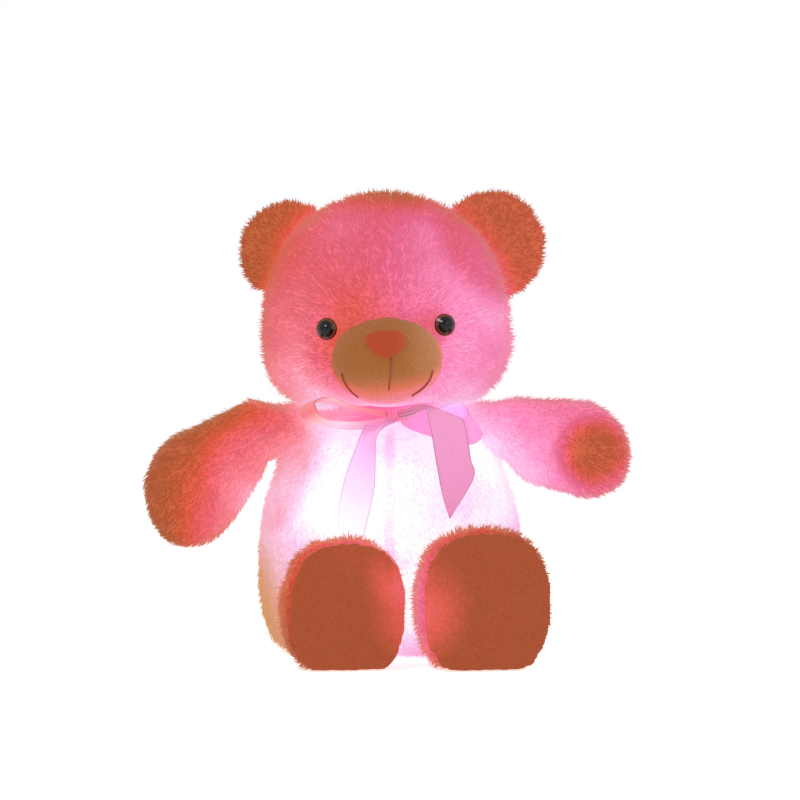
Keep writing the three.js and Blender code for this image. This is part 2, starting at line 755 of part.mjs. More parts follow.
// A loop is one strip that leaves the knot, turns at its end and comes back. +X runs out from the knot.
function loopForm(name, side) {
  const length = loopLength[name];
  const strip = new THREE.BoxGeometry(1, ribbonThickness, 1, 16, 1, 2);
  const start = knotWidth / 2 + seamGap;
  reshape(strip, (p) => {
    const round = p.x * 2 * Math.PI * 0.97;
    const out = (1 + Math.cos(round)) / 2;
    const spread = THREE.MathUtils.smoothstep(out, 0, 0.7);
    const width = THREE.MathUtils.lerp(loopPinchShare, 1, spread) * ribbonWidth;
    const [dx, dy] = [-Math.sin(round) * length, loopBulge * Math.cos(round) * 2];
    const steep = Math.hypot(dx, dy);
    const along = start + out * length;
    const half = (loopBulge / 2) * THREE.MathUtils.lerp(loopPinchShare, 1, out);
    const depth = half * Math.sin(round) - loopStandOff * Math.sin(Math.PI * out);
    p.set(along - (p.y * dy) / steep, depth + (p.y * dx) / steep, p.z * width);
  });
  strip.rotateX(loopRoll[name]).rotateY(-loopSlope[name]);
  if (side < 0) strip.scale(-1, 1, 1);
  return solidOf(strip.translate(bowCentre.x, bowCentre.y, bowCentre.z));
}

// A hanging end is cut flat. It leaves the knot's front, comes out over its loop and falls over the belly.
function hangingForm(name, shares) {
  const outline = shares.map((share) => new THREE.Vector2(...share));
  const sheet = new THREE.Shape(outline.map((p) => p.multiplyScalar(ribbonWidth)));
  const flat = new THREE.ExtrudeGeometry(sheet, { depth: ribbonThickness, bevelEnabled: false });
  const knotFront = bowCentre.y - knotDepth / 2;
  reshape(flat, (p) => {
    const [x, z] = [bowCentre.x + p.x, bowCentre.z + p.y];
    const out = THREE.MathUtils.smoothstep(Math.abs(p.x) / ribbonWidth, ...hangingTurnShares);
    const front = knotFront - THREE.MathUtils.lerp(seamGap, hangingOver[name], out);
    const belly = bellyAt(x, Math.min(z, neckHeight)) - hangingStandOff;
    p.set(x, Math.min(belly, front) - p.z, z);
  });
  return solidOf(flat);
}

function addBow() {
  add(group, "neck_ribbon", neckRing(neckRadius + seamGap, bandOuter, bandHeight, 32), colours.ribbon, 0.35);
  const knot = new THREE.SphereGeometry(1, 12, 8);
  reshape(knot, (p) => {
    p.set(p.x * knotWidth, p.y * knotDepth, p.z * knotHeight).multiplyScalar(1 / 2).add(bowCentre);
  });
  add(group, "bow_knot", solidOf(knot), colours.ribbon, 0.35);
  for (const [name, side] of Object.entries(sides)) {
    add(group, `bow_loop_${name}`, loopForm(name, side), colours.ribbon, 0.35);
  }
  add(group, "bow_tail_left", hangingForm("left", leftHangingShares), colours.ribbon, 0.35);
  add(group, "bow_tail_right", hangingForm("right", rightHangingShares), colours.ribbon, 0.35);
}

// Zip: two tapes whose teeth stand half a pitch apart and reach past each other at the middle line
const toothTop = seamGap + toothThickness;
function toothForm(side, z) {
  const outline = new THREE.Shape(
    [
      [-toothLap, -toothHead / 2],
      [0, -toothHead / 2],
      [tapeEdge, -toothNeck / 2],
      [toothRoot, -toothNeck / 2],
      [toothRoot, toothNeck / 2],
      [tapeEdge, toothNeck / 2],
      [0, toothHead / 2],
      [-toothLap, toothHead / 2],
    ].map(([x, y]) => new THREE.Vector2(side * x, y)),
  );
  const tooth = new THREE.ExtrudeGeometry(outline, { depth: toothThickness, bevelEnabled: false });
  return solidOf(tooth.rotateX(Math.PI / 2).translate(0, toothTop, z));
}

function tapeForm(side) {
  const tapeMiddle = side * (tapeEdge + tapeWidth / 2);
  const tape = block(tapeWidth, tapeThickness, zipLength, tapeMiddle, seamGap + tapeThickness / 2, 0);
  const teeth = [];
  const run = zipLength / 2 - zipEndBare;
  const first = -run + (side > 0 ? 0 : toothPitch / 2);
  for (let z = first; z <= run; z += toothPitch) teeth.push(toothForm(side, z));
  const stopWidth = toothRoot - tapeEdge;
  const stopX = side * (tapeEdge + stopWidth / 2);
  const stopZ = run + (zipEndBare + stopLength) / 2;
  const stop = block(stopWidth, toothThickness, stopLength, stopX, seamGap + toothThickness / 2, stopZ);
  return joined([tape, ...teeth, stop]);
}

// The slider rides on the chain with a flange down each side, and carries a bail for the pull.
const channelHalf = toothRoot + seamGap;
const plateLow = toothTop + seamGap;
const plateHigh = plateLow + sliderPlate;
const sliderTop = zipLength / 2 - zipEndBare - sliderLength / 2 - sliderEndRoom;
const pullAxisY = plateHigh + bailOpening / 2;
function sliderForm() {
  const [head, heel, half] = [sliderHead / 2, sliderHeel / 2, sliderLength / 2];
  const outline = new THREE.Shape();
  outline.moveTo(-heel, -half);
  outline.lineTo(heel, -half);
  outline.quadraticCurveTo(heel, 0, head, half / 2);
  outline.quadraticCurveTo(head, half, 0, half);
  outline.quadraticCurveTo(-head, half, -head, half / 2);
  outline.quadraticCurveTo(-heel, 0, -heel, -half);
  const shoe = new THREE.ExtrudeGeometry(outline, {
    depth: plateHigh - seamGap - tapeThickness - seamGap,
    curveSegments: 3,
    bevelEnabled: false,
  });
  const solid = solidOf(shoe.rotateX(Math.PI / 2).translate(0, plateHigh, 0));
  const channel = block(2 * channelHalf, 2 * plateLow, sliderLength + 2 * cutOver);
  const legOffset = (bailSpan + bailWire) / 2;
  const bailTop = plateHigh + bailOpening + bailWire / 2;
  const posts = [-legOffset, legOffset].map((z) =>
    block(bailWire, bailOpening + sliderPlate, bailWire, 0, plateLow + (bailOpening + sliderPlate) / 2, z),
  );
  const bar = block(bailWire, bailWire, bailSpan + 2 * bailWire, 0, bailTop, 0);
  return joined([solid.subtract(channel), ...posts, bar]);
}

// The pull hangs by its eye from the bail: its upper rim lies in the bail, about which it turns.
function pullForm() {
  const half = pullWidth / 2;
  const rim = pullThickness / 2;
  const outline = new THREE.Shape();
  outline.moveTo(-half * 0.8, rim);
  outline.lineTo(half * 0.8, rim);
  outline.lineTo(half * 0.7, -pullEyeLength);
  outline.lineTo(half, -pullLength * 0.55);
  outline.absarc(0, -pullLength + half, half, 0, -Math.PI, true);
  outline.lineTo(-half, -pullLength * 0.55);
  outline.lineTo(-half * 0.7, -pullEyeLength);
  const eye = new THREE.Path();
  eye.moveTo(-pullEyeWidth / 2, -rim);
  eye.lineTo(-pullEyeWidth / 2, -rim - pullEyeLength);
  eye.lineTo(pullEyeWidth / 2, -rim - pullEyeLength);
  eye.lineTo(pullEyeWidth / 2, -rim);
  outline.holes.push(eye);
  const settings = { depth: pullThickness, curveSegments: 5, bevelEnabled: false };
  const plate = new THREE.ExtrudeGeometry(outline, settings).rotateX(Math.PI / 2);
  return solidOf(plate.translate(0, pullAxisY + pullThickness / 2, 0));
}

function addZip() {
  for (const [name, side] of Object.entries(sides)) {
    add(group, `zip_tape_${name}`, moved(tapeForm(side), zipFrame), colours.zip, 0.8);
  }
  const stopZ = -zipLength / 2 + zipEndBare - toothHead / 2 - seamGap - stopLength / 2;
  const stopLow = seamGap + tapeThickness + seamGap;
  const stop = block(2 * toothRoot, toothTop - stopLow, stopLength, 0, (toothTop + stopLow) / 2, stopZ);
  add(group, "zip_bottom_stop", moved(stop, zipFrame), colours.pull, 0.35, 1);
  const sliderFrame = zipFrame.clone().multiply(at(0, 0, sliderTop));
  const slider = framed(sliderFrame);
  add(slider, "zip_slider", moved(sliderForm(), sliderFrame), colours.pull, 0.35, 1);
  add(slider, "zip_pull", moved(pullForm(), sliderFrame), colours.pull, 0.35, 1);
}

// Battery box: a moulded case with a bay for three cells and a closed bay for the switch
const bayWidth = boxWidth - 2 * boxWall;
const slotLength = knobLength + knobTravel + 2 * seamGap;
const screwHole = () =>
  solidOf(
    upright(
      [[0, -screwLength - seamGap], [screwRadius + seamGap, -screwLength - seamGap],
        [screwRadius + seamGap, cutOver], [0, cutOver]],
      12,
    ).rotateX(-Math.PI / 2),
  );
// The screw's frame: +Y out of the lid, at the underside of its head
const screwSeat = boxFace + seamGap + lidThickness - screwHeadHeight;
const screwPlace = at(0, screwSeat, dividerMiddle);

function caseForm() {
  const bayDepth = boxDepth - boxWall;
  const shell = block(boxWidth, boxDepth, boxLength);
  const cellBay = block(bayWidth, bayDepth + cutOver, bayLength, 0, (boxWall + cutOver) / 2, bayMiddle);
  const switchRoom = block(bayWidth, boxDepth - 2 * boxWall, switchBay, 0, 0, switchMiddle);
  const slotWidth = knobWidth + 2 * seamGap;
  const slot = block(slotLength, boxWall + 2 * cutOver, slotWidth, knobTravel / 2, boxFace, switchMiddle);
  const rib = boxWall / 2 + ribHeight; // it is rooted in the wall
  const ribs = [-cellPitch / 2, cellPitch / 2].map((x) =>
    block(ribWidth, rib, cellLength - 2 * cutOver, x, boxBack + boxWall / 2 + rib / 2, bayMiddle),
  );
  const hollowed = cut(shell, [cellBay, switchRoom, slot, moved(screwHole(), screwPlace)]);
  return joined([hollowed, ...ribs]);
}

function lidForm() {
  const lidLow = boxFace + seamGap;
  const length = boxWall + bayLength + boxDivider;
  const plate = block(boxWidth, lidThickness, length, 0, lidLow + lidThickness / 2, boxLow + length / 2);
  const drop = lidLip + seamGap;
  const lipBlock = (inset, depth) =>
    block(bayWidth - 2 * inset, depth, bayLength - 2 * inset, 0, lidLow - depth / 2, bayMiddle);
  const lip = lipBlock(seamGap, drop).subtract(lipBlock(seamGap + lidLipWall, drop + cutOver));
  const head = solidOf(
    upright(
      [[0, 0], [screwHeadRadius + seamGap, 0], [screwHeadRadius + seamGap, cutOver], [0, cutOver]],
      14,
    ).rotateX(-Math.PI / 2),
  );
  const seatCut = moved(head, at(0, screwSeat - seamGap, dividerMiddle));
  return cut(plate.add(lip), [seatCut, moved(screwHole(), screwPlace)]);
}

function screwForm() {
  const profile = [
    [0, -screwLength],
    [screwRadius, -screwLength],
    [screwRadius, 0],
    [screwHeadRadius, 0],
    [screwHeadRadius, screwHeadHeight],
    [0, screwHeadHeight],
  ];
  const screw = solidOf(upright(profile, 12).rotateX(-Math.PI / 2));
  const slot = block(2 * screwHeadRadius + cutOver, screwHeadHeight, screwRadius / 2, 0, screwHeadHeight, 0);
  return screw.subtract(slot);
}

function cellForm() {
  const half = cellLength / 2;
  const profile = [
    [0, -half], [cellRadius, -half], [cellRadius, half - cellNub], [cellNubRadius, half - cellNub],
    [cellNubRadius, half], [0, half],
  ];
  return solidOf(upright(profile, 16));
}

// A contact spring winds up from its plate and narrows to the cell.
class SpringCurve extends THREE.Curve {
  constructor(length) {
    super();
    this.length = length;
  }
  getPoint(t, target = new THREE.Vector3()) {
    const angle = t * springTurns * 2 * Math.PI;
    const radius = THREE.MathUtils.lerp(springBaseRadius, springTipRadius, t);
    return target.set(radius * Math.cos(angle), radius * Math.sin(angle), t * this.length);
  }
}
const springRoom = bayLength - cellLength - 2 * contactThickness - 4 * seamGap;
const springCurve = new SpringCurve(springRoom - springWire);

// The least gap between turns of the spring's wire, measured on points along it
function springGap() {
  const points = springCurve.getPoints(springTurns * 24);
  let least = Infinity;
  for (let i = 0; i < points.length; i++) {
    for (let j = i + 12; j < points.length; j++) least = Math.min(least, points[i].distanceTo(points[j]));
  }
  return least - springWire;
}
console.log(`contact spring: least gap between turns ${springGap().toFixed(2)} mm`);

function springForm() {
  return tubeForm(springCurve, springWire / 2, springTurns * 8).translate(0, 0, springWire / 2);
}

// Cells lie side by side, every other one turned over, with a spring at each flat end.
function addCells() {
  const cellY = boxBack + boxWall + seamGap + cellRadius;
  const half = bayLength / 2;
  for (const [index, name] of ["left", "middle", "right"].entries()) {
    const x = (1 - index) * cellPitch;
    const up = index % 2 === 0 ? 1 : -1;
    const nubRoom = contactThickness + 2 * seamGap;
    const cellZ = bayMiddle + up * (half - nubRoom - cellLength / 2);
    const over = new THREE.Matrix4().makeRotationX(up > 0 ? 0 : Math.PI);
    const cellPlace = boxFrame.clone().multiply(at(x, cellY, cellZ)).multiply(over);
    add(group, `cell_${name}`, moved(cellForm(), cellPlace), colours.cell, 0.35, 0.4);
    const springZ = bayMiddle - up * (half - contactThickness - 2 * seamGap);
    const springPlace = boxFrame.clone().multiply(at(x, cellY, springZ)).multiply(over);
    add(group, `contact_spring_${name}`, moved(springForm(), springPlace), colours.metal, 0.3, 1);
  }
  // Each contact plate serves one cell or bridges two: its end of the bay, and its first and last cell
  const plates = {
    upper_bridge: [1, 0, 1],
    upper_single: [1, 2, 2],
    lower_single: [-1, 0, 0],
    lower_bridge: [-1, 1, 2],
  };
  for (const [name, [end, from, to]] of Object.entries(plates)) {
    const x = (1 - (from + to) / 2) * cellPitch;
    const width = contactSize + (to - from) * cellPitch;
    const z = bayMiddle + end * (half - seamGap - contactThickness / 2);
    const plate = block(width, contactSize, contactThickness, x, cellY, z);
    add(group, `contact_${name}`, moved(plate, boxFrame), colours.metal, 0.3, 1);
  }
}

function knobForm() {
  const flangeTop = boxFace - boxWall - seamGap;
  const [length, width] = [knobLength + 2 * knobFlange, knobWidth + 2 * knobFlange];
  const flange = block(length, knobFlange, width, 0, flangeTop - knobFlange / 2, switchMiddle);
  const reach = seamGap + boxWall + knobReach;
  const stemMiddle = flangeTop + (reach - knobFlange) / 2;
  const stem = block(knobLength, reach + knobFlange, knobWidth, 0, stemMiddle, switchMiddle);
  return flange.add(stem);
}

function boardForm() {
  const canLow = boardFace + boardThickness;
  const board = block(
    boardLength, boardThickness, switchBay - 2 * seamGap, 0, boardFace + boardThickness / 2, switchMiddle,
  );
  const canMiddle = canLow + switchHeight / 2;
  const can = block(switchLength, switchHeight, switchWidth, knobTravel / 2, canMiddle, switchMiddle);
  return board.add(can);
}

function addBatteryBox() {
  const boxPart = framed(boxFrame);
  const placed = (solid) => moved(solid, boxFrame);
  const leadHole = leadForm(leadRadius + seamGap);
  const cloth = pouchBlock(pouchInner + pouchWall, pouchMouth);
  const pouch = cloth.subtract(pouchBlock(pouchInner, pouchMouth + cutOver));
  add(boxPart, "battery_pouch", placed(pouch).subtract(leadHole), colours.pouch);
  add(boxPart, "battery_case", placed(caseForm()).subtract(leadHole), colours.box, 0.5);
  add(boxPart, "battery_lid", placed(lidForm()), colours.box, 0.5);
  add(boxPart, "lid_screw", moved(screwForm(), boxFrame.clone().multiply(screwPlace)), colours.metal, 0.3, 1);
  add(boxPart, "switch_knob", placed(knobForm()), colours.knob, 0.5);
  add(boxPart, "switch_board", placed(boardForm()), colours.board, 0.6);
  addCells();
}

function addLights() {
  add(group, "led_lead", leadForm(leadRadius), colours.lead, 0.5);
  const hole = leadForm(leadRadius + seamGap);
  for (const [index, bead] of beadForms(beadRadius).entries()) {
    add(group, `led_bead_${index + 1}`, bead.subtract(hole), colours.bead, 0.2);
  }
}

addBody();
addHead();
addLimbs();
addBow();
addZip();
addBatteryBox();
addLights();

export default group;
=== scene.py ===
import collections
import json
import math

import bmesh
import bpy
import numpy as np
from bpy.props import FloatProperty, FloatVectorProperty, IntProperty, PointerProperty
from mathutils import Matrix, Vector
from mathutils.bvhtree import BVHTree

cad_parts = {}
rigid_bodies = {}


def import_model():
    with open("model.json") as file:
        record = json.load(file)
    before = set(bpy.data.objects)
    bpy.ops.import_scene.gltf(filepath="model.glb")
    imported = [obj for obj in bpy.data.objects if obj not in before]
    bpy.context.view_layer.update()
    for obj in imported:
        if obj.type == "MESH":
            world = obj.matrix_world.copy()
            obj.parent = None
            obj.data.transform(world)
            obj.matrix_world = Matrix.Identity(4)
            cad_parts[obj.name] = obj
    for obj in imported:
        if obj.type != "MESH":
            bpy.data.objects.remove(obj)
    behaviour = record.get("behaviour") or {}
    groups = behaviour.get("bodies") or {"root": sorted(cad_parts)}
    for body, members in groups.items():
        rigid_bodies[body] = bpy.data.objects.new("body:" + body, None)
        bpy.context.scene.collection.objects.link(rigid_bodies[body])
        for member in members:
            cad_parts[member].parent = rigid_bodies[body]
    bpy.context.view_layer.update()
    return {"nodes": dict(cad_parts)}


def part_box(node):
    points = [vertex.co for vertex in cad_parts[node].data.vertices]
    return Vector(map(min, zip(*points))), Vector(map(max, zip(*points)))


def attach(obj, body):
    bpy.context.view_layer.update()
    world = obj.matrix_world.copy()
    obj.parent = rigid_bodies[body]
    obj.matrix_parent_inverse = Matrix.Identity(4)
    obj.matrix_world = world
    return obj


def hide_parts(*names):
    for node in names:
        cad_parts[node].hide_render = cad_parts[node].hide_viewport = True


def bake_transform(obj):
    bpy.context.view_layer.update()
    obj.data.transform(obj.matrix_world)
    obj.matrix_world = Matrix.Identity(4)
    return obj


bl_info = {
    "name": "Plush night light",
    "blender": (4, 5, 0),
    "version": (1, 0, 0),
    "location": "View3D > Sidebar > Night light",
    "description": "Builds a sitting plush bear with lamps in its stuffing",
    "category": "Add Mesh",
}

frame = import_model()

MM = 0.001
skins = {}

Stuffed = collections.namedtuple("Stuffed", "body voxel depth smooth slot parent")
# Each stuffed piece: the body that carries it, its remeshing step and how deep its backing lies, both in
# millimetres, how often it is smoothed, its material slot, and the piece that it is sewn to
STUFFED = {
    "body": Stuffed("torso", 5.0, 5.6, 8, "plush", None),
    "head": Stuffed("head", 4.5, 5.6, 8, "plush", None),
    "ear_left": Stuffed("head", 3.0, 3.3, 5, "plush", "head"),
    "ear_right": Stuffed("head", 3.0, 3.3, 5, "plush", "head"),
    "arm_left": Stuffed("arm_left", 4.0, 4.1, 6, "plush", "body"),
    "arm_right": Stuffed("arm_right", 4.0, 4.1, 6, "plush", "body"),
    "leg_left": Stuffed("leg_left", 4.0, 4.2, 6, "plush", "body"),
    "leg_right": Stuffed("leg_right", 4.0, 4.2, 6, "plush", "body"),
    "tail": Stuffed("torso", 3.0, 3.8, 4, "plush", "body"),
    "muzzle": Stuffed("head", 2.5, 1.0, 5, "plush_muzzle", "head"),
    "nose": Stuffed("head", 1.2, 0.6, 5, "plush_nose", "muzzle"),
    "sole_left": Stuffed("leg_left", 1.8, 0.4, 5, "plush_sole", "leg_left"),
    "sole_right": Stuffed("leg_right", 1.8, 0.4, 5, "plush_sole", "leg_right"),
}

# Where a limb turns, in which direction it leaves the trunk, the radius of its end in the trunk, and how far
# out from the pivot its cloth begins to go with it and does so wholly
Limb = collections.namedtuple("Limb", "pivot out ball bends")
LIMBS = {
    "arm_left": Limb((58, 2, 151), (0.913, -0.406, -0.035), 24, (-6, 30)),
    "arm_right": Limb((-58, 2, 151), (-0.894, -0.190, -0.407), 24, (-6, 30)),
    "leg_left": Limb((45, -45, 40), (0.196, -0.981, 0), 27, (2, 34)),
    "leg_right": Limb((-45, -45, 40), (-0.196, -0.981, 0), 27, (2, 34)),
}
EYE_AXES = {"eye_left": (0.342, -0.940, 0.012), "eye_right": (-0.342, -0.940, -0.012)}
MUZZLE = np.array((-3, -85, 203)) * MM
PAW_DIMPLE = np.array((131, -62, 141.5)) * MM
DIMPLE_DEPTH = 5 * MM
NECK = 166 * MM
TABLE = 0.3 * MM


def linear(red, green, blue):
    """A screen colour from 0 to 255 as the linear colour that Blender works in."""
    share = [c / 255 for c in (red, green, blue)]
    return tuple(c / 12.92 if c <= 0.04045 else ((c + 0.055) / 1.055) ** 2.4 for c in share)


def smoothstep(low, high, value):
    t = np.clip((value - low) / (high - low), 0, 1)
    return t * t * (3 - 2 * t)


def unit(vectors):
    return vectors / np.maximum(np.linalg.norm(vectors, axis=-1, keepdims=True), 1e-9)


def middle_of(node):
    """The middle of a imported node's box."""
    low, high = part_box(node)
    return (np.array(low) + np.array(high)) / 2


# Settings that a user would change


class PileSettings(bpy.types.PropertyGroup):
    """The plush's pile and stuffing."""

    long_pile: FloatProperty(
        name="Long pile", description="Length of the plush's hairs", default=0.0082,
        unit="LENGTH", subtype="DISTANCE",
    )
    short_pile: FloatProperty(
        name="Short pile", description="Length of the hairs on muzzle, nose and soles", default=0.0012,
        unit="LENGTH", subtype="DISTANCE",
    )
    tuft_width: FloatProperty(
        name="Tuft width", description="Width of one tuft of hairs", default=0.0008,
        unit="LENGTH", subtype="DISTANCE",
    )
    tufts: IntProperty(name="Tufts", description="Tufts on a square centimetre of long pile", default=44)
    swell: FloatProperty(
        name="Swell", description="How far the stuffing may push the cloth out", default=0.005,
        unit="LENGTH", subtype="DISTANCE",
    )
    plain: FloatVectorProperty(
        name="Plush", description="Colour of plush that no lamp reaches", default=linear(195, 98, 59),
        subtype="COLOR",
    )
    sole: FloatVectorProperty(
        name="Sole", description="Colour of the sole pads", default=linear(168, 78, 44), subtype="COLOR"
    )
    muzzle: FloatVectorProperty(
        name="Muzzle", description="Colour of the muzzle", default=linear(164, 98, 46), subtype="COLOR"
    )
    nose: FloatVectorProperty(
        name="Nose", description="Colour of the nose", default=linear(178, 70, 37), subtype="COLOR"
    )


class GlowSettings(bpy.types.PropertyGroup):
    """The light that comes through the plush, from its thick parts to those near a lamp."""

    dim: FloatVectorProperty(
        name="Dim", description="Plush far from a lamp", default=linear(240, 96, 84), subtype="COLOR"
    )
    rose: FloatVectorProperty(
        name="Rose", description="Plush half lit", default=linear(238, 109, 146), subtype="COLOR"
    )
    pink: FloatVectorProperty(
        name="Pink", description="Plush well lit", default=linear(253, 146, 194), subtype="COLOR"
    )
    lavender: FloatVectorProperty(
        name="Lavender", description="Plush close to a lamp", default=linear(252, 208, 245), subtype="COLOR"
    )
    warm: FloatVectorProperty(
        name="Warm", description="Plush by the yellow lamp", default=linear(218, 158, 112), subtype="COLOR"
    )
    strength: FloatProperty(name="Strength", description="Brightness of the lamps", default=1.0, min=0)


class BowSettings(bpy.types.PropertyGroup):
    """The satin ribbon."""

    width: FloatProperty(
        name="Ribbon width", description="Width that the ribbon is woven to", default=0.025,
        unit="LENGTH", subtype="DISTANCE",
    )
    thickness: FloatProperty(
        name="Ribbon thickness", description="Thickness of the satin", default=0.0004,
        unit="LENGTH", subtype="DISTANCE",
    )


class StageSettings(bpy.types.PropertyGroup):
    """The floor and the camera."""

    distance: FloatProperty(
        name="Distance", description="From the camera to the bear", default=2.085,
        unit="LENGTH", subtype="DISTANCE",
    )
    lens: FloatProperty(name="Lens", description="Focal length in millimetres", default=135)
    floor: FloatVectorProperty(
        name="Floor", description="Colour of the floor", default=(0.9, 0.9, 0.9), subtype="COLOR"
    )


# Node trees


class Nodes:
    """Adds nodes to a tree. A value given for a socket is either a number or another node's output."""

    def __init__(self, tree):
        self.tree = tree

    def add(self, kind, values=None, **fields):
        node = self.tree.nodes.new(kind)
        for name, value in fields.items():
            setattr(node, name, value)
        for name, value in (values or {}).items():
            if isinstance(value, bpy.types.NodeSocket):
                self.tree.links.new(value, node.inputs[name])
            else:
                node.inputs[name].default_value = value
        return node

    def maths(self, operation, a, b=0.0):
        return self.add("ShaderNodeMath", {0: a, 1: b}, operation=operation).outputs[0]

    def vector(self, operation, a, b=(0, 0, 0), out=0):
        return self.add("ShaderNodeVectorMath", {0: a, 1: b}, operation=operation).outputs[out]

    def fade(self, value, start, end, low=0.0, high=1.0):
        values = {"Value": value, "From Min": start, "From Max": end, "To Min": low, "To Max": high}
        return self.add("ShaderNodeMapRange", values, interpolation_type="SMOOTHSTEP").outputs[0]

    def mix(self, factor, a, b, blend="MIX"):
        values = {0: factor, 6: self.rgba(a), 7: self.rgba(b)}
        return self.add("ShaderNodeMix", values, data_type="RGBA", blend_type=blend).outputs[2]

    def noise(self, place, scale, detail=3.0):
        values = {"Vector": place, "Scale": scale, "Detail": detail}
        return self.add("ShaderNodeTexNoise", values).outputs[0]

    def ramp(self, value, stops):
        node = self.add("ShaderNodeValToRGB", {0: value})
        elements = node.color_ramp.elements
        while len(elements) < len(stops):
            elements.new(1.0)
        for element, (place, colour) in zip(elements, stops):
            element.position = place
            element.color = self.rgba(colour)
        return node.outputs[0]

    def bump(self, height, distance, strength):
        values = {"Height": height, "Distance": distance, "Strength": strength}
        return self.add("ShaderNodeBump", values).outputs[0]

    def place(self):
        return self.add("ShaderNodeTexCoord").outputs["Object"]

    def split(self, place):
        return self.add("ShaderNodeSeparateXYZ", {0: place}).outputs

    def scaled(self, colour, share):
        values = {0: colour, "Scale": share}
        return self.add("ShaderNodeVectorMath", values, operation="SCALE").outputs[0]

    def group(self, tree, **sockets):
        """Places a node group with its inputs set or linked, and gives its outputs."""
        node = self.add("ShaderNodeGroup", node_tree=tree)
        wire(self, node, **sockets)
        return node.outputs

    def attribute(self, name):
        return self.add("ShaderNodeAttribute", attribute_name=name).outputs["Fac"]

    @staticmethod
    def rgba(colour):
        return colour if isinstance(colour, bpy.types.NodeSocket) else (*colour[:3], 1.0)


def new_material(name):
    """An empty node material, with the Nodes that fill it and its Principled shader."""
    material = bpy.data.materials.new(name)
    material.use_nodes = True
    nodes = Nodes(material.node_tree)
    return material, nodes, material.node_tree.nodes["Principled BSDF"]


def wire(nodes, node, **sockets):
    """Sets or links the node's inputs. A name is the input's, with underscores for its spaces."""
    for name, value in sockets.items():
        socket = node.inputs[name.replace("_", " ")]
        if isinstance(value, bpy.types.NodeSocket):
            nodes.tree.links.new(value, socket)
        else:
            socket.default_value = (*value, 1.0) if isinstance(value, tuple) and len(value) == 3 else value


# How a pool of painted glow spreads over the plush, or a painted shadow, whose share is below nothing: its
# centre, where it ends and where it is full, in millimetres, and its share of full light
Spread = collections.namedtuple("Spread", "centre far near share")
LIGHTS = {
    "belly": Spread((-10, -30, 85), 160, 70, 0.85),
    "crotch": Spread((25, -45, 70), 55, 15, 0.15),
    "chest": Spread((-20, -40, 120), 70, 30, 0.20),
    "between_feet": Spread((25, -125, 30), 55, 5, 0.60),
    "foot_edge": Spread((0, -130, 60), 25, 5, 0.25),
    "forehead": Spread((45, 0, 275), 180, 60, 0.40),
    "crown_left": Spread((70, -30, 250), 100, 15, 0.30),
    "crown_right": Spread((-40, -20, 270), 50, 25, 0.15),
    "cheek_left": Spread((45, -40, 210), 35, 5, 0.10),
    "cheek_right": Spread((-65, -20, 215), 65, 20, 0.40),
    "upper_arm_left": Spread((130, -25, 135), 105, 15, 0.40),
    "paw_left": Spread((160, -45, 140), 80, 15, 0.35),
    "upper_arm_right": Spread((-95, -25, 130), 45, 15, 0.30),
}
SHADOWS = {
    "top": Spread((5, -10, 335), 55, 10, -0.30),
    "temple_left": Spread((65, -20, 280), 50, 25, -0.25),
    "beside_nose_right": Spread((-40, -65, 210), 30, 0, -0.20),
    "beside_nose_left": Spread((30, -65, 225), 20, 0, -0.20),
    "neck": Spread((-10, -60, 175), 75, 10, -0.25),
    "shoulder_left": Spread((60, -40, 185), 45, 5, -0.10),
    "shoulder_right": Spread((-75, -30, 175), 30, 5, -0.10),
    "elbow_right": Spread((-85, -30, 135), 60, 0, -0.45),
    "paw_dimple": Spread((140, -60, 140), 35, 10, -0.50),
}
YELLOW_LIGHT = Spread((-100, 10, 25), 80, 30, 1.0)
# How much of the lamps' light comes through the cloth of a piece, where it isn't all
REACH = {
    "ear_left": 0.45, "ear_right": 0.7, "arm_left": 0.9, "leg_left": 0.4, "leg_right": 0.4, "sole_right": 0.8,
}
# Lights reach further from front to back than across
FLAT = (1.0, 0.8, 1.0)
# How much the light varies in broad clouds and in fine ones, and what the belly's seam takes from it
BROAD_CLOUDS, FINE_CLOUDS, SEAM_SHADOW = 0.16, 0.08, 0.10


def new_group(name, inputs, outputs):
    """An empty node group, with the Nodes that fill it, what its inputs give and the node of its outputs."""
    tree = bpy.data.node_groups.new(name, "ShaderNodeTree")
    for sockets, way in ((inputs, "INPUT"), (outputs, "OUTPUT")):
        for title, kind in sockets.items():
            tree.interface.new_socket(title, in_out=way, socket_type=f"NodeSocket{kind}")
    n = Nodes(tree)
    return tree, n, n.add("NodeGroupInput").outputs, n.add("NodeGroupOutput")


def shared(build):
    """The node group that build makes, made once for all materials. It has the function's name."""
    return bpy.data.node_groups.get(build.__name__) or build()


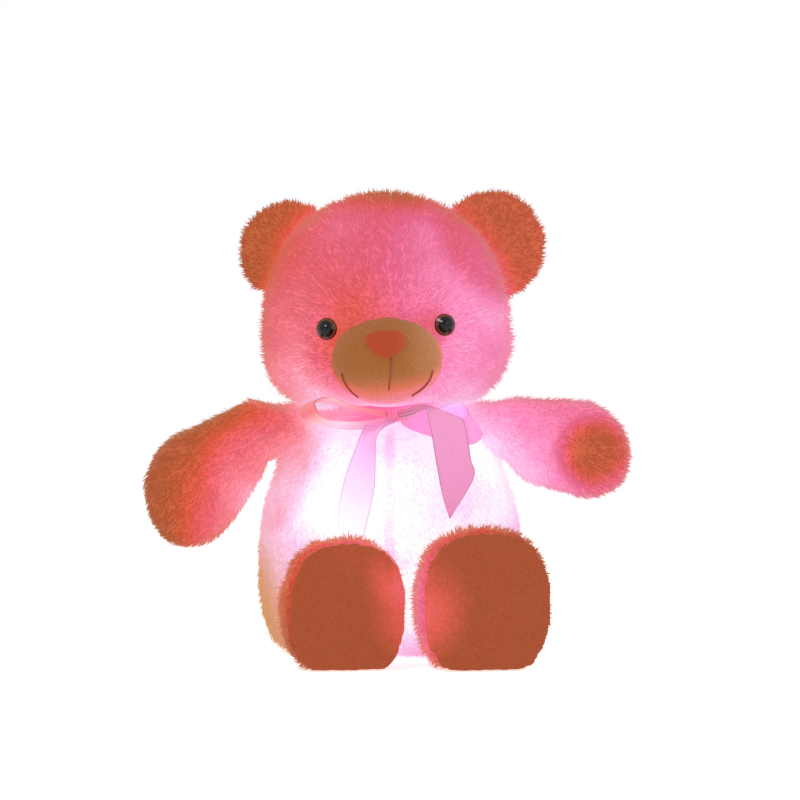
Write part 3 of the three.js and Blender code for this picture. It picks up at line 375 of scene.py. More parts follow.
def light_through_pile():
    """Gives how much painted glow a point of the plush gets for the lamps inside, less the painted shadows,
    how much of it is warm, and where it turns redder.
    """
    tree, n, _, out = new_group("light_through_pile", {}, {"Level": "Float", "Warm": "Float", "Red": "Float"})
    place = n.place()
    flat = n.vector("MULTIPLY", place, FLAT)

    def spread(light):
        away = n.vector("DISTANCE", flat, tuple(c * MM * f for c, f in zip(light.centre, FLAT)), out=1)
        return n.fade(away, light.far * MM, light.near * MM, 0.0, light.share)

    level = 0.0
    for light in (*LIGHTS.values(), *SHADOWS.values()):
        level = n.maths("ADD", level, spread(light))
    broad = n.maths("MULTIPLY", n.maths("SUBTRACT", n.noise(place, 34), 0.5), BROAD_CLOUDS)
    fine = n.maths("MULTIPLY", n.maths("SUBTRACT", n.noise(place, 190), 0.5), FINE_CLOUDS)
    level = n.maths("ADD", level, n.maths("ADD", broad, fine))
    across, along, up = n.split(place)
    wandering = n.maths("ADD", across, n.maths("MULTIPLY", broad, 0.01))
    beside = n.fade(n.maths("ABSOLUTE", wandering), 0.006, 0.0005)
    belly = n.maths("MULTIPLY", n.fade(along, -0.04, -0.06), n.fade(up, 0.055, 0.075))
    belly = n.maths("MULTIPLY", belly, n.fade(up, 0.160, 0.150))
    seam = n.maths("MULTIPLY", n.maths("MULTIPLY", beside, belly), SEAM_SHADOW)
    level = n.maths("SUBTRACT", level, seam)
    wire(n, out, Level=level, Warm=spread(YELLOW_LIGHT), Red=n.fade(across, 0.01, -0.07))
    return tree


def plush_colour(glow):
    """Gives the colour of plush with its painted glow, and the painted light that it lets out, from its plain
    colour and how it is lit.
    """
    tree, n, given, out = new_group(
        "plush_colour", {"Plain": "Color", "Gain": "Float", "Lift": "Float", "Warmth": "Float"},
        {"Colour": "Color", "Light": "Color", "Height": "Float"},
    )
    light = n.group(shared(light_through_pile))
    level = n.maths("ADD", n.maths("MULTIPLY", light["Level"], given["Gain"]), given["Lift"])
    stops = (
        (0.0, glow.dim), (0.22, glow.dim), (0.46, glow.rose), (0.68, glow.pink), (0.86, glow.lavender),
        (1.0, (1, 1, 1)),
    )
    lit = n.ramp(level, stops)
    redder = n.mix(1.0, lit, (1.0, 0.94, 0.62), "MULTIPLY")
    far_up = n.fade(level, 0.95, 0.6)
    lit = n.mix(n.maths("MULTIPLY", light["Red"], far_up), lit, redder)
    colour = n.mix(n.fade(level, 0.03, 0.36), given["Plain"], lit)
    warm = n.maths("MULTIPLY", given["Warmth"], n.fade(level, 0.9, 0.5))
    colour = n.mix(n.maths("MAXIMUM", light["Warm"], warm), colour, glow.warm)
    # Even plush that no lamp reaches gives out most of its colour as painted glow, which flattens its shading
    share = n.fade(level, 0.0, 0.9, 0.76, 0.96 * glow.strength)
    share = n.maths("MAXIMUM", share, n.maths("MULTIPLY", light["Warm"], 0.85))
    wire(n, out, Colour=colour, Light=n.scaled(colour, share), Height=n.noise(n.place(), 900, 2))
    return tree


def caught_light():
    """Gives the painted light that plush catches besides its share of the lamps, low down and where it turns
    to the sides, and how warm that is.
    """
    tree, n, given, out = new_group(
        "caught_light", dict.fromkeys(("Lift", "Under", "Rim", "Beside", "Sides"), "Float"),
        {"Lift": "Float", "Warmth": "Float"},
    )
    across, _, up = n.split(n.place())
    below = n.fade(n.maths("SUBTRACT", up, n.maths("MULTIPLY", across, 0.12)), 0.203, 0.170)
    below = n.maths("MULTIPLY", below, given["Under"])
    side = n.attribute("side")
    rim = n.maths("MULTIPLY", n.maths("MULTIPLY", side, given["Rim"]), n.fade(up, 0.232, 0.212))
    beside = n.fade(across, 0.0, 0.045, 0.0, given["Beside"])
    sides = n.maths("MULTIPLY", side, given["Sides"])
    wire(
        n, out, Lift=n.maths("ADD", n.maths("ADD", below, rim), given["Lift"]),
        Warmth=n.maths("MAXIMUM", n.maths("MAXIMUM", below, beside), sides),
    )
    return tree


def hair_tones_and_shade():
    """Gives each tuft its own tone, with painted light at its tip and painted shade at its root."""
    tree, n, given, out = new_group(
        "hair_tones_and_shade", {"Contrast": "Float", "Root": "Float"}, {"Raise": "Float", "Shade": "Float"}
    )
    rise = n.attribute("rise")
    tone = n.maths("MULTIPLY", n.maths("SUBTRACT", n.attribute("tuft"), 0.5), given["Contrast"])
    tip = n.maths("MULTIPLY", n.maths("SUBTRACT", rise, 0.55), given["Contrast"])
    wire(n, out, Raise=n.maths("ADD", tone, tip), Shade=n.fade(rise, 0.0, 0.7, given["Root"], 1.03))
    return tree


def cloth_tones():
    """Gives the cloth under the pile an uneven tone."""
    tree, n, given, out = new_group(
        "cloth_tones", {"Contrast": "Float", "Root": "Float"}, {"Raise": "Float", "Shade": "Float"}
    )
    place = n.place()
    uneven = n.maths("MULTIPLY", n.maths("SUBTRACT", n.noise(place, 420), 0.5), given["Contrast"])
    wire(n, out, Raise=uneven, Shade=n.fade(n.noise(place, 700, 2), 0.3, 0.7, given["Root"], 1.00))
    return tree


# How one kind of plush takes the light: its plain colour, how much of the light it gets, and the painted light
# it gets besides on the whole, on its lower side, and where it curves away to the sides
Kind = collections.namedtuple("Kind", "plain gain lift under rim")


def plush(name, kind, group, hair=False, short=False):
    """Plush: its backing, or its hairs, whose tufts each have their own tone, painted light at the tip and
    painted shade at the root.
    """
    material, n, shader = new_material(name)
    beside, sides = (0.5, 0.0) if kind.rim else (0.0, 0.4)
    caught = n.group(
        shared(caught_light), Lift=kind.lift, Under=kind.under, Rim=kind.rim, Beside=beside, Sides=sides
    )
    if hair:
        contrast, root = (0.02, 0.95) if short else (0.04, 0.90)
        tones = n.group(shared(hair_tones_and_shade), Contrast=contrast, Root=root)
    else:
        tones = n.group(shared(cloth_tones), Contrast=0.12, Root=0.90)
    mixed = n.group(
        group, Plain=tuple(kind.plain), Gain=n.maths("MULTIPLY", n.attribute("reach"), kind.gain),
        Lift=n.maths("ADD", tones["Raise"], caught["Lift"]), Warmth=caught["Warmth"],
    )
    # Base colour and emission both carry the painted glow; on hairs, Shade is also the painted shade at their
    # roots
    wire(
        n, shader, Base_Color=n.scaled(mixed["Colour"], n.maths("MULTIPLY", tones["Shade"], 0.25)),
        Roughness=0.85, Sheen_Weight=0.12, Sheen_Roughness=0.5, Specular_IOR_Level=0.15,
        Emission_Color=n.scaled(mixed["Light"], tones["Shade"]), Emission_Strength=1.0,
        Normal=n.bump(mixed["Height"], 0.0006, 0.3 if hair else 0.6),
    )
    return material


def satin_threads():
    """Gives satin its threads, which run along the ribbon, and makes it darker along its edges."""
    tree, n, given, out = new_group(
        "satin_threads", {"Colour": "Color", "Place": "Vector"},
        {"Colour": "Color", "Roughness": "Float", "Height": "Float"},
    )
    threads = n.noise(n.vector("MULTIPLY", given["Place"], (6, 160, 1)), 1.0, 4)
    across = n.split(given["Place"])[1]
    edge = n.fade(n.maths("ABSOLUTE", n.maths("SUBTRACT", across, 0.5)), 0.46, 0.49)
    tone = n.maths("SUBTRACT", n.fade(threads, 0.25, 0.75, 0.90, 1.05), n.maths("MULTIPLY", edge, 0.30))
    wire(
        n, out, Colour=n.scaled(given["Colour"], tone), Roughness=n.fade(threads, 0.2, 0.8, 0.30, 0.42),
        Height=threads,
    )
    return tree


def satin(name, stops, light):
    """Satin ribbon: its threads run along it, its colour changes that way with painted light and shade, and it
    gives out a painted glow for the light behind it.
    """
    material, n, shader = new_material(name)
    uv = n.add("ShaderNodeUVMap", uv_map="OFBake").outputs[0]
    woven_in = n.group(shared(satin_threads), Colour=n.ramp(n.split(uv)[0], stops), Place=uv)
    wire(
        n, shader, Base_Color=woven_in["Colour"], Roughness=woven_in["Roughness"], Anisotropic=0.5,
        Sheen_Weight=0.25, Specular_IOR_Level=0.45, Emission_Color=woven_in["Colour"],
        Emission_Strength=light, Normal=n.bump(woven_in["Height"], 0.0002, 0.35),
    )
    return material


def wear():
    """Gives a moulded or worked surface an uneven tone, a fine grain, and a gloss that wear changes."""
    tree, n, given, out = new_group(
        "wear", {"Colour": "Color", "Spread": "Float", "Roughness": "Float", "Grain": "Float"},
        {"Colour": "Color", "Roughness": "Float", "Height": "Float"},
    )
    place = n.place()
    cloud = n.noise(place, 60, 5)
    darkest = n.maths("SUBTRACT", 1.0, given["Spread"])
    palest = n.maths("ADD", 1.0, n.maths("MULTIPLY", given["Spread"], 0.5))
    glossiest = n.maths("MULTIPLY", given["Roughness"], 0.8)
    dullest = n.maths("MINIMUM", 1.0, n.maths("MULTIPLY", given["Roughness"], 1.2))
    wire(
        n, out, Colour=n.scaled(given["Colour"], n.fade(cloud, 0.3, 0.7, darkest, palest)),
        Roughness=n.fade(cloud, 0.25, 0.75, glossiest, dullest), Height=n.noise(place, given["Grain"], 2),
    )
    return tree


def moulded(name, colour, roughness, metallic=0.0, grain=900.0, relief=0.00008, spread=0.16, coat=0.0):
    """Moulded plastic or worked metal."""
    material, n, shader = new_material(name)
    worn = n.group(shared(wear), Colour=colour, Spread=spread, Roughness=roughness, Grain=grain)
    wire(
        n, shader, Base_Color=worn["Colour"], Metallic=metallic, Coat_Weight=coat,
        Roughness=worn["Roughness"], Normal=n.bump(worn["Height"], relief, 0.5),
    )
    return material


def weave():
    """Gives plain woven cloth its warp and weft waves."""
    tree, n, given, out = new_group(
        "weave", {"Colour": "Color", "Rate": "Float"}, {"Colour": "Color", "Height": "Float"}
    )
    place = n.place()
    across, _, up = n.split(place)
    warp = n.maths("SINE", n.maths("MULTIPLY", across, given["Rate"]))
    weft = n.maths("SINE", n.maths("MULTIPLY", up, given["Rate"]))
    cloth = n.maths("MULTIPLY", warp, weft)
    tone = n.fade(cloth, -1.0, 1.0, 0.74, 1.06)
    mottle = n.fade(n.noise(place, 120, 4), 0.3, 0.7, 0.92, 1.06)
    wire(n, out, Colour=n.scaled(given["Colour"], n.maths("MULTIPLY", tone, mottle)), Height=cloth)
    return tree


def woven(name, colour, pitch):
    """Plain woven cloth. pitch is the width of two of its threads, in metres."""
    material, n, shader = new_material(name)
    cloth = n.group(shared(weave), Colour=colour, Rate=2 * math.pi / pitch)
    wire(
        n, shader, Base_Color=cloth["Colour"], Roughness=0.8, Sheen_Weight=0.2,
        Normal=n.bump(cloth["Height"], 0.0003, 0.6),
    )
    return material


# Meshes


def linked(name, mesh):
    piece = bpy.data.objects.new(name, mesh)
    bpy.context.scene.collection.objects.link(piece)
    return piece


def made(name, bm, smooth=True):
    """Makes an object of a bmesh and frees it."""
    mesh = bpy.data.meshes.new(name)
    bm.to_mesh(mesh)
    bm.free()
    if smooth:
        mesh.shade_smooth()
    return linked(name, mesh)


def settle(piece):
    """Applies the piece's modifiers, so that its mesh is what shows."""
    shown = piece.evaluated_get(bpy.context.evaluated_depsgraph_get())
    mesh = bpy.data.meshes.new_from_object(shown)
    old = piece.data
    piece.modifiers.clear()
    piece.data = mesh
    bpy.data.meshes.remove(old)


def points_of(mesh, what="co"):
    found = np.empty(len(mesh.vertices) * 3, np.float32)
    mesh.vertices.foreach_get(what, found)
    return found.reshape(-1, 3).astype(float)


def set_points(mesh, points):
    mesh.vertices.foreach_set("co", np.asarray(points, np.float32).ravel())
    mesh.update()


def mark(mesh, values):
    """Gives each point of the mesh a value under each name."""
    for title, value in values.items():
        mesh.attributes.new(title, "FLOAT", "POINT").data.foreach_set("value", np.asarray(value, np.float32))


def light_marks(name, points, ways):
    """How much of the light reaches the cloth at each point, and how far it faces to the sides and back."""
    reach = np.full(len(ways), REACH.get(name, 1.0))
    if name.startswith("ear"):
        from_head = np.linalg.norm(points - middle_of("head"), axis=1)
        reach *= 0.7 + 1.3 * (1 - smoothstep(70 * MM, 98 * MM, from_head))
    return {"reach": reach, "side": 1 - smoothstep(0.0, 0.6, -ways[:, 1])}


def tree_of(piece):
    mesh = piece.data
    mesh.calc_loop_triangles()
    corners = np.empty(len(mesh.loop_triangles) * 3, np.int32)
    mesh.loop_triangles.foreach_get("vertices", corners)
    return BVHTree.FromPolygons(points_of(mesh).tolist(), corners.reshape(-1, 3).tolist())


def within(tree, points, reach=0.06):
    """Which points lie inside a closed shape."""
    found = np.zeros(len(points), bool)
    for i, point in enumerate(points):
        spot, normal, _, _ = tree.find_nearest(Vector(point), reach)
        found[i] = spot is not None and (Vector(point) - spot).dot(normal) < 0
    return found


def outer_shell(bm):
    """Deletes what lies inside, such as the pocket, and keeps the shell with the widest reach."""
    left = set(bm.verts)
    shells = []
    while left:
        stack, shell = [left.pop()], []
        while stack:
            vert = stack.pop()
            shell.append(vert)
            for edge in vert.link_edges:
                other = edge.other_vert(vert)
                if other in left:
                    left.remove(other)
                    stack.append(other)
        shells.append(shell)
    shells.sort(key=lambda s: max(v.co.x for v in s) - min(v.co.x for v in s))
    for shell in shells[:-1]:
        bmesh.ops.delete(bm, geom=shell, context="VERTS")


def smooth(bm, times):
    """Draws every point halfway to the middle of its neighbours, so many times."""
    for _ in range(times):
        bmesh.ops.smooth_vert(
            bm, verts=bm.verts, factor=0.5, use_axis_x=True, use_axis_y=True, use_axis_z=True
        )


def filled_copy(name):
    """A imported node's mesh, merged, with its sockets and slits filled so that the cloth over it is whole."""
    bm = bmesh.new()
    bm.from_mesh(frame["nodes"][name].data)
    bmesh.ops.remove_doubles(bm, verts=bm.verts, dist=0.01 * MM)
    if name in LIMBS:
        limb = LIMBS[name]
        centre = Matrix.Translation(Vector(limb.pivot) * MM)
        bmesh.ops.create_uvsphere(bm, u_segments=32, v_segments=20, radius=limb.ball * MM, matrix=centre)
    if name == "body":
        neck = Matrix.Translation((0, 0, NECK))
        bmesh.ops.create_cone(
            bm, cap_ends=True, segments=32, radius1=46 * MM, radius2=44 * MM, depth=32 * MM, matrix=neck
        )
        slit = Matrix.LocRotScale(Vector((0, 58, 91)) * MM, None, Vector((24, 15, 96)) * MM)
        bmesh.ops.create_cube(bm, size=1.0, matrix=slit)
    return bm


def backing(name, spec):
    """The cloth of one stuffed piece before it is filled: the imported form, remeshed and drawn in."""
    piece = made(name + "_cloth", filled_copy(name))
    remesh = piece.modifiers.new("Cloth", "REMESH")
    remesh.mode = "VOXEL"
    remesh.voxel_size = spec.voxel * MM
    settle(piece)
    bm = bmesh.new()
    bm.from_mesh(piece.data)
    outer_shell(bm)
    smooth(bm, 2)
    bm.normal_update()
    low = min(v.co.z for v in bm.verts)
    moves = [v.normal * (-spec.depth * MM) for v in bm.verts]
    for vert, move in zip(bm.verts, moves):
        vert.co += move
    smooth(bm, spec.smooth)
    bm.to_mesh(piece.data)
    bm.free()
    piece["low"] = low
    return piece


def fill_with_stuffing(swell):
    """Presses the cloth out, caps how far a point moves, and lets each cloth out by half of that cap."""
    before = {name: (points_of(piece.data), points_of(piece.data, "normal")) for name, piece in skins.items()}
    press(skins.values())
    for name, (points, ways) in before.items():
        cap = min(swell, 0.9 * MM * STUFFED[name].depth)
        mesh = skins[name].data
        moved = points_of(mesh) - points
        moved -= moved.mean(axis=0)
        moved *= np.minimum(1, cap / np.maximum(np.linalg.norm(moved, axis=1, keepdims=True), 1e-9))
        let_out = cap / 2 - (moved * ways).sum(1).mean()
        set_points(mesh, points + moved + ways * let_out)


def press(pieces, steps=20):
    """Runs the cloth simulation on all the pieces together, with the stuffing as pressure from inside."""
    for piece in pieces:
        cloth = piece.modifiers.new("Stuffing", "CLOTH")
        cloth.settings.quality = 4
        cloth.settings.mass = 0.01
        cloth.settings.tension_stiffness = 12
        cloth.settings.compression_stiffness = 12
        cloth.settings.bending_stiffness = 0.5
        cloth.settings.use_pressure = True
        cloth.settings.uniform_pressure_force = 10
        cloth.settings.effector_weights.gravity = 0
        cloth.collision_settings.use_collision = False
        cloth.point_cache.frame_start, cloth.point_cache.frame_end = 1, steps
    scene = bpy.context.scene
    for step in range(1, steps + 1):
        scene.frame_set(step)
    for piece in pieces:
        settle(piece)
    scene.frame_set(1)


def seat(name, piece):
    """Lets the piece down onto the table, and draws the edge that is sewn to another piece into that one."""
    points = points_of(piece.data)
    lowest = points[:, 2].min()
    lift = lowest - max(piece["low"], TABLE)
    if piece["low"] < 10 * MM:
        points[:, 2] -= lift * (1 - smoothstep(lowest, lowest + 50 * MM, points[:, 2]))
    if name == "body":
        # The back lies flat behind the zip, and the belly is drawn in along its seam
        low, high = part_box("zip_tape_left")
        half = (high[2] - low[2]) / 2
        flat = (1 - smoothstep(14 * MM, 26 * MM, np.abs(points[:, 0]))) * (points[:, 1] > 40 * MM)
        from_middle = np.abs(points[:, 2] - (low[2] + high[2]) / 2)
        flat *= 1 - smoothstep(half + 3 * MM, half + 18 * MM, from_middle)
        points[:, 1] += (low[1] - 0.9 * MM - points[:, 1]) * flat
        seam = np.exp(-((points[:, 0] / (2.2 * MM)) ** 2)) * (points[:, 1] < 0)
        points[:, 1] += 1.6 * MM * seam * smoothstep(0.052, 0.075, points[:, 2])
    parent = skins.get(STUFFED[name].parent)
    if parent is not None:
        tree, ways = tree_of(parent), points_of(piece.data, "normal")
        for i, point in enumerate(points):
            spot, _, _, away = tree.find_nearest(Vector(point), 0.014)
            if spot is not None and away > 0.01 * MM:
                towards = unit(np.array(spot) - point)
                pull = (1 - smoothstep(5.5 * MM, 12 * MM, away)) * smoothstep(0.0, 0.5, towards @ ways[i])
                points[i] += towards * (away + MM) * pull
    if name == "arm_left":
        near = 1 - smoothstep(2 * MM, 16 * MM, np.linalg.norm(points - PAW_DIMPLE, axis=1))
        points += unit(np.array((10, 25, -5.0))) * (near * DIMPLE_DEPTH)[:, None]
    points[:, 2] = np.maximum(points[:, 2], TABLE)
    set_points(piece.data, points)


def soft_lumps(points, size):
    """A gentle unevenness, from a few crossing waves."""
    rate = 2 * math.pi / (26 * MM)
    x, y, z = (points[:, i] * rate for i in range(3))
    waves = np.sin(x + 1.3 * np.sin(z)) + np.sin(1.3 * y + 0.7 * x) + np.sin(1.1 * z + 1.7 * np.sin(y))
    return waves / 3 * size


def refine(piece, levels):
    subdivided = piece.modifiers.new("Smooth", "SUBSURF")
    subdivided.levels = subdivided.render_levels = levels
    settle(piece)
    piece.data.shade_smooth()


def carry(piece, name):
    """Attaches the piece to the body that carries the stuffed piece of that name; a limb's piece instead only
    has its place applied.
    """
    if name in LIMBS:
        limb = LIMBS[name]
        pivot, out = Vector(limb.pivot) * MM, Vector(limb.out)
        near, far = (away * MM for away in limb.bends)
        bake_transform(piece)
    else:
        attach(piece, STUFFED[name].body)


# Pile


def tuft_template():
    """One tuft: pointed at both ends and three-sided at its widest, as its points and faces."""
    bm = bmesh.new()
    for radii, low, deep in (((0, 1), 0.0, BEND), ((1, 0), BEND, 1 - BEND)):
        bmesh.ops.create_cone(
            bm, cap_ends=False, segments=3, radius1=radii[0], radius2=radii[1], depth=deep,
            matrix=Matrix.Translation((0, 0, low + deep / 2)),
        )
    bmesh.ops.remove_doubles(bm, verts=bm.verts, dist=1e-4)
    bmesh.ops.triangulate(bm, faces=bm.faces)
    bm.verts.index_update()
    points = np.array([v.co[:] for v in bm.verts])
    faces = np.array([[v.index for v in f.verts] for f in bm.faces])
    bm.free()
    return points, faces


def sown(piece, density, weight, rng):
    """Places on a piece's surface, so many to the square metre times the weight there, with their normals."""
    mesh = piece.data
    mesh.calc_loop_triangles()
    corners = np.empty(len(mesh.loop_triangles) * 3, np.int32)
    mesh.loop_triangles.foreach_get("vertices", corners)
    corners = corners.reshape(-1, 3)
    points, normals = points_of(mesh), points_of(mesh, "normal")
    a, b, c = (points[corners[:, i]] for i in range(3))
    area = np.linalg.norm(np.cross(b - a, c - a), axis=1) / 2
    area = area * weight((a + b + c) / 3)
    picked = rng.choice(len(corners), int(density * area.sum()), p=area / area.sum())
    u, v = rng.random((2, len(picked), 1))
    fold = u + v > 1
    u, v = np.where(fold, 1 - u, u), np.where(fold, 1 - v, v)
    shares = (1 - u - v, u, v)
    spots = sum(s * points[corners[picked, i]] for i, s in enumerate(shares))
    ways = unit(sum(s * normals[corners[picked, i]] for i, s in enumerate(shares)))
    return spots, ways


# How a tuft grows: how far it strays from the comb and from its own way, how much its upper part turns along
# the comb and down, at which share of its height it bends, and how deep its root sits in the cloth
STRAY, WAVER, TURN, DROOP, BEND = 0.28, 0.13, 0.50, 0.12, 0.4
ROOT_DEPTH, BODY_ROOT_DEPTH = 0.6 * MM, 0.3 * MM
LOWEST_HAIR = 0.25 * MM
# How upright tufts stand, up to 1, and how much less they do over the edge of a foot
LONG_STAND, SHORT_STAND, FOOT_EDGE_LESS = 0.41, 0.62, 0.14


def grown(name, roots, ways, comb, length, width, stand, rng):
    """Grows a tuft from each root. comb is the way the pile lies, and stand how upright it is, up to 1."""
    shape, faces = tuft_template()
    count = len(roots)
    along = comb - (comb * ways).sum(1, keepdims=True) * ways
    along = unit(along + rng.normal(0, STRAY, (count, 3)))
    first = unit(ways * stand[:, None] + along * (1 - stand)[:, None] + rng.normal(0, WAVER, (count, 3)))
    second = unit(first + along * TURN + np.array((0, 0, -DROOP)))
    side = unit(np.cross(first, ways + 1e-4))
    over = np.cross(side, first)
    reach = (length * rng.uniform(0.72, 1.15, count))[:, None, None]
    half = (width / 2 * rng.uniform(0.7, 1.3, count))[:, None, None]
    high = shape[:, 2][None, :, None]
    lower, upper = np.minimum(high, BEND), np.maximum(high - BEND, 0)
    depth = BODY_ROOT_DEPTH if name == "body_pile" else ROOT_DEPTH
    core = (first[:, None, :] * lower + second[:, None, :] * upper) * reach
    girth = (side[:, None, :] * shape[None, :, :1] + over[:, None, :] * shape[None, :, 1:2] * 0.7) * half
    points = (roots - ways * depth)[:, None, :] + core + girth
    points[:, :, 2] = np.maximum(points[:, :, 2], LOWEST_HAIR)
    points = points.reshape(-1, 3)
    corners = (faces[None] + (np.arange(count) * len(shape))[:, None, None]).reshape(-1)
    mesh = bpy.data.meshes.new(name)
    mesh.vertices.add(len(points))
    mesh.vertices.foreach_set("co", points.astype(np.float32).ravel())
    mesh.loops.add(len(corners))
    mesh.loops.foreach_set("vertex_index", corners.astype(np.int32))
    mesh.polygons.add(len(corners) // 3)
    mesh.polygons.foreach_set("loop_start", np.arange(0, len(corners), 3, dtype=np.int32))
    mark(mesh, {"tuft": np.repeat(rng.random(count), len(shape)), "rise": np.tile(shape[:, 2], count)})
    each = (np.repeat(values, len(shape), axis=0) for values in (roots, ways))
    mark(mesh, light_marks(name.removesuffix("_pile"), *each))
    middle, low, high = roots.mean(0), roots.min(0), roots.max(0)
    turn = np.arctan2(roots[:, 0] - middle[0], middle[1] - roots[:, 1]) / (2 * math.pi) + 0.5
    rise = (roots[:, 2] - low[2]) / max(high[2] - low[2], 1e-6)
    uv = np.repeat(np.stack((0.02 + 0.96 * turn, 0.02 + 0.95 * rise), 1), len(shape), axis=0)
    uv += np.tile(np.stack((shape[:, 0] * 0.0012, shape[:, 2] * 0.003), 1), (count, 1))
    mesh.uv_layers.new(name="OFBake").data.foreach_set("uv", uv[corners].astype(np.float32).ravel())
    mesh.update()
    mesh.validate()
    mesh.shade_smooth()
    soft = unit(ways[:, None, :] + side[:, None, :] * shape[None, :, :1] * 0.35 + second[:, None, :] * 0.15)
    mesh.normals_split_custom_set_from_vertices(soft.reshape(-1, 3).tolist())
    return linked(name, mesh)


# How far out from a leg's pivot its foot curves over to the sole
FOOT_EDGE = (70 * MM, 84 * MM)


def lie_of_the_pile(name, spots):
    """Which way the pile is brushed at each spot."""
    x, y, z = spots.T
    down = np.array((0.0, 0.0, -1.0))
    if name == "head":
        away = unit(spots - MUZZLE)
        return away + np.stack((0.25 * np.sign(x), 0.35 + 0 * x, np.where(z < 0.2, -0.4, 0.1)), 1)
    if name == "body":
        spread = np.where(y < 0, 0.7, 0.28) * np.sign(x) * (1 - smoothstep(0.0, 0.05, np.abs(x)))
        return down + np.stack((spread, 0 * x, 0 * x), 1)
    if name.startswith("ear"):
        middle = spots.mean(0) - np.array((0.25 * spots.mean(0)[0], 0, 0.02))
        return unit(spots - middle) + np.array((0, 0.2, 0.1))
    if name == "tail":
        return unit(spots - spots.mean(0)) + down * 0.6
    limb = LIMBS[name]
    out = np.array(limb.out)
    if name == "arm_left":
        from_dimple = spots - PAW_DIMPLE
        near = 1 - smoothstep(8 * MM, 26 * MM, np.linalg.norm(from_dimple, axis=1))
        return out + down * 0.35 + unit(from_dimple) * (3.0 * near)[:, None]
    if name.startswith("leg"):
        axis = np.array(limb.pivot) * MM
        round_it = spots - axis
        along = round_it @ out
        round_it = unit(round_it - along[:, None] * out)
        over = smoothstep(*FOOT_EDGE, along)[:, None]
        return out * 0.9 + round_it * (0.4 - 1.5 * over)
    return out + down * 0.35


def thickness_of_pile(name, spots):
    """How thickly the pile stands at each spot, from none to full."""
    x, y, z = spots.T
    full = np.ones(len(spots))
    if name == "head":
        for node, axis in EYE_AXES.items():
            from_axis = np.linalg.norm(np.cross(spots - middle_of(node), axis), axis=1)
            full *= smoothstep(6.2 * MM, 8.5 * MM, from_axis) + (y > 0)
        full = np.minimum(full, 1) * smoothstep(NECK - 4 * MM, NECK + 3 * MM, z)
    if name == "body":
        zip_low, zip_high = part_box("zip_tape_right")[0][2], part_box("zip_tape_left")[1][2]
        in_zip = (np.abs(x) < 9.5 * MM) & (z > zip_low) & (z < zip_high) & (y > 0)
        full *= np.where(in_zip, 0, 1)
        full *= np.where(z > NECK - 6 * MM, 0, 1) * np.where(z < 4 * MM, 0.15, 1)
    return full


# The share of the longest hairs that those of some pieces have
SHORTER = {"ear": 0.60, "arm": 0.78, "leg": 0.86}


def pile_lengths(name, spots, longest):
    """How long the hairs are at each spot: shorter round the face, by the bow and along the seam."""
    x, y, z = spots.T
    share = np.ones(len(spots))
    if name == "head":
        share *= 0.55 + 0.45 * smoothstep(0.036, 0.062, np.linalg.norm(spots - MUZZLE, axis=1))
        for node in EYE_AXES:
            share *= 0.5 + 0.5 * smoothstep(0.006, 0.020, np.linalg.norm(spots - middle_of(node), axis=1))
    if name in ("head", "body"):
        front = spots[:, 1] < -0.02
        edges = [edge for strip in BOW_STRIPS.values() for edge in (strip.near, strip.far)]
        bow = np.vstack([through(edge, 40) for edge in edges])
        away = np.array([np.linalg.norm(bow - spot, axis=1).min() for spot in spots[front]])
        share[front] *= 0.16 + 0.84 * smoothstep(7 * MM, 20 * MM, away)
    if name == "body":
        share *= np.where(y < 0, 0.62 + 0.38 * smoothstep(0.001, 0.009, np.abs(x)), 1)
        share *= 1 - 0.35 * smoothstep(0.118, 0.150, z) * (y < -0.02)
    return longest * share * SHORTER.get(name.split("_")[0], 1.0)


# Which pieces a pile doesn't grow into
NEIGHBOURS = {
    "body": ("arm_left", "arm_right", "leg_left", "leg_right", "head", "tail"),
    "head": ("muzzle", "ear_left", "ear_right", "body"),
    "ear_left": ("head",),
    "ear_right": ("head",),
    "arm_left": ("body", "head"),
    "arm_right": ("body", "head"),
    "leg_left": ("body", "sole_left"),
    "leg_right": ("body", "sole_right"),
    "tail": ("body",),
}
# The pieces with short pile, and what hides some of it
SHORT_PILED = {
    "muzzle": ("head", "nose"),
    "nose": ("muzzle",),
    "sole_left": ("leg_left",),
    "sole_right": ("leg_right",),
}


# A tuft has six faces, so with these caps a piece of pile has under 200,000 of them
MOST_TUFTS, MOST_SHORT_TUFTS = 33000, 32000
# Square centimetres in a square metre, and how many times as thickly short pile stands
SQUARE_METRE, SHORT_THICKER = 1e4, 6


def long_pile(name, settings, material, trees, rng):
    """The long pile of one piece. Where its neighbours are, none grows, nor over the sole of a foot."""
    density = settings.tufts * SQUARE_METRE
    spots, ways = sown(skins[name], density, lambda at: thickness_of_pile(name, at), rng)
    kept = np.ones(len(spots), bool)
    for other in NEIGHBOURS[name]:
        kept[kept] = ~within(trees[other], spots[kept] + ways[kept] * 1.5 * MM)
    if name.startswith("leg"):
        sole, out = trees[name.replace("leg", "sole")], Vector(LIMBS[name].out)
        for i in np.flatnonzero(kept):
            kept[i] = sole.ray_cast(Vector(spots[i]) - out * 2 * MM, out, 0.02)[0] is None
    spots, ways = spots[kept], ways[kept]
    spots, ways = spots[:MOST_TUFTS], ways[:MOST_TUFTS]
    comb = lie_of_the_pile(name, spots)
    length = pile_lengths(name, spots, settings.long_pile)
    stand = np.full(len(spots), LONG_STAND)
    if name.startswith("leg"):
        out = (spots - np.array(LIMBS[name].pivot) * MM) @ np.array(LIMBS[name].out)
        stand -= FOOT_EDGE_LESS * smoothstep(*FOOT_EDGE, out)
    pile = grown(name + "_pile", spots, ways, comb, length, settings.tuft_width, stand, rng)
    finish_piece(pile, name, "plush", material)
    return pile


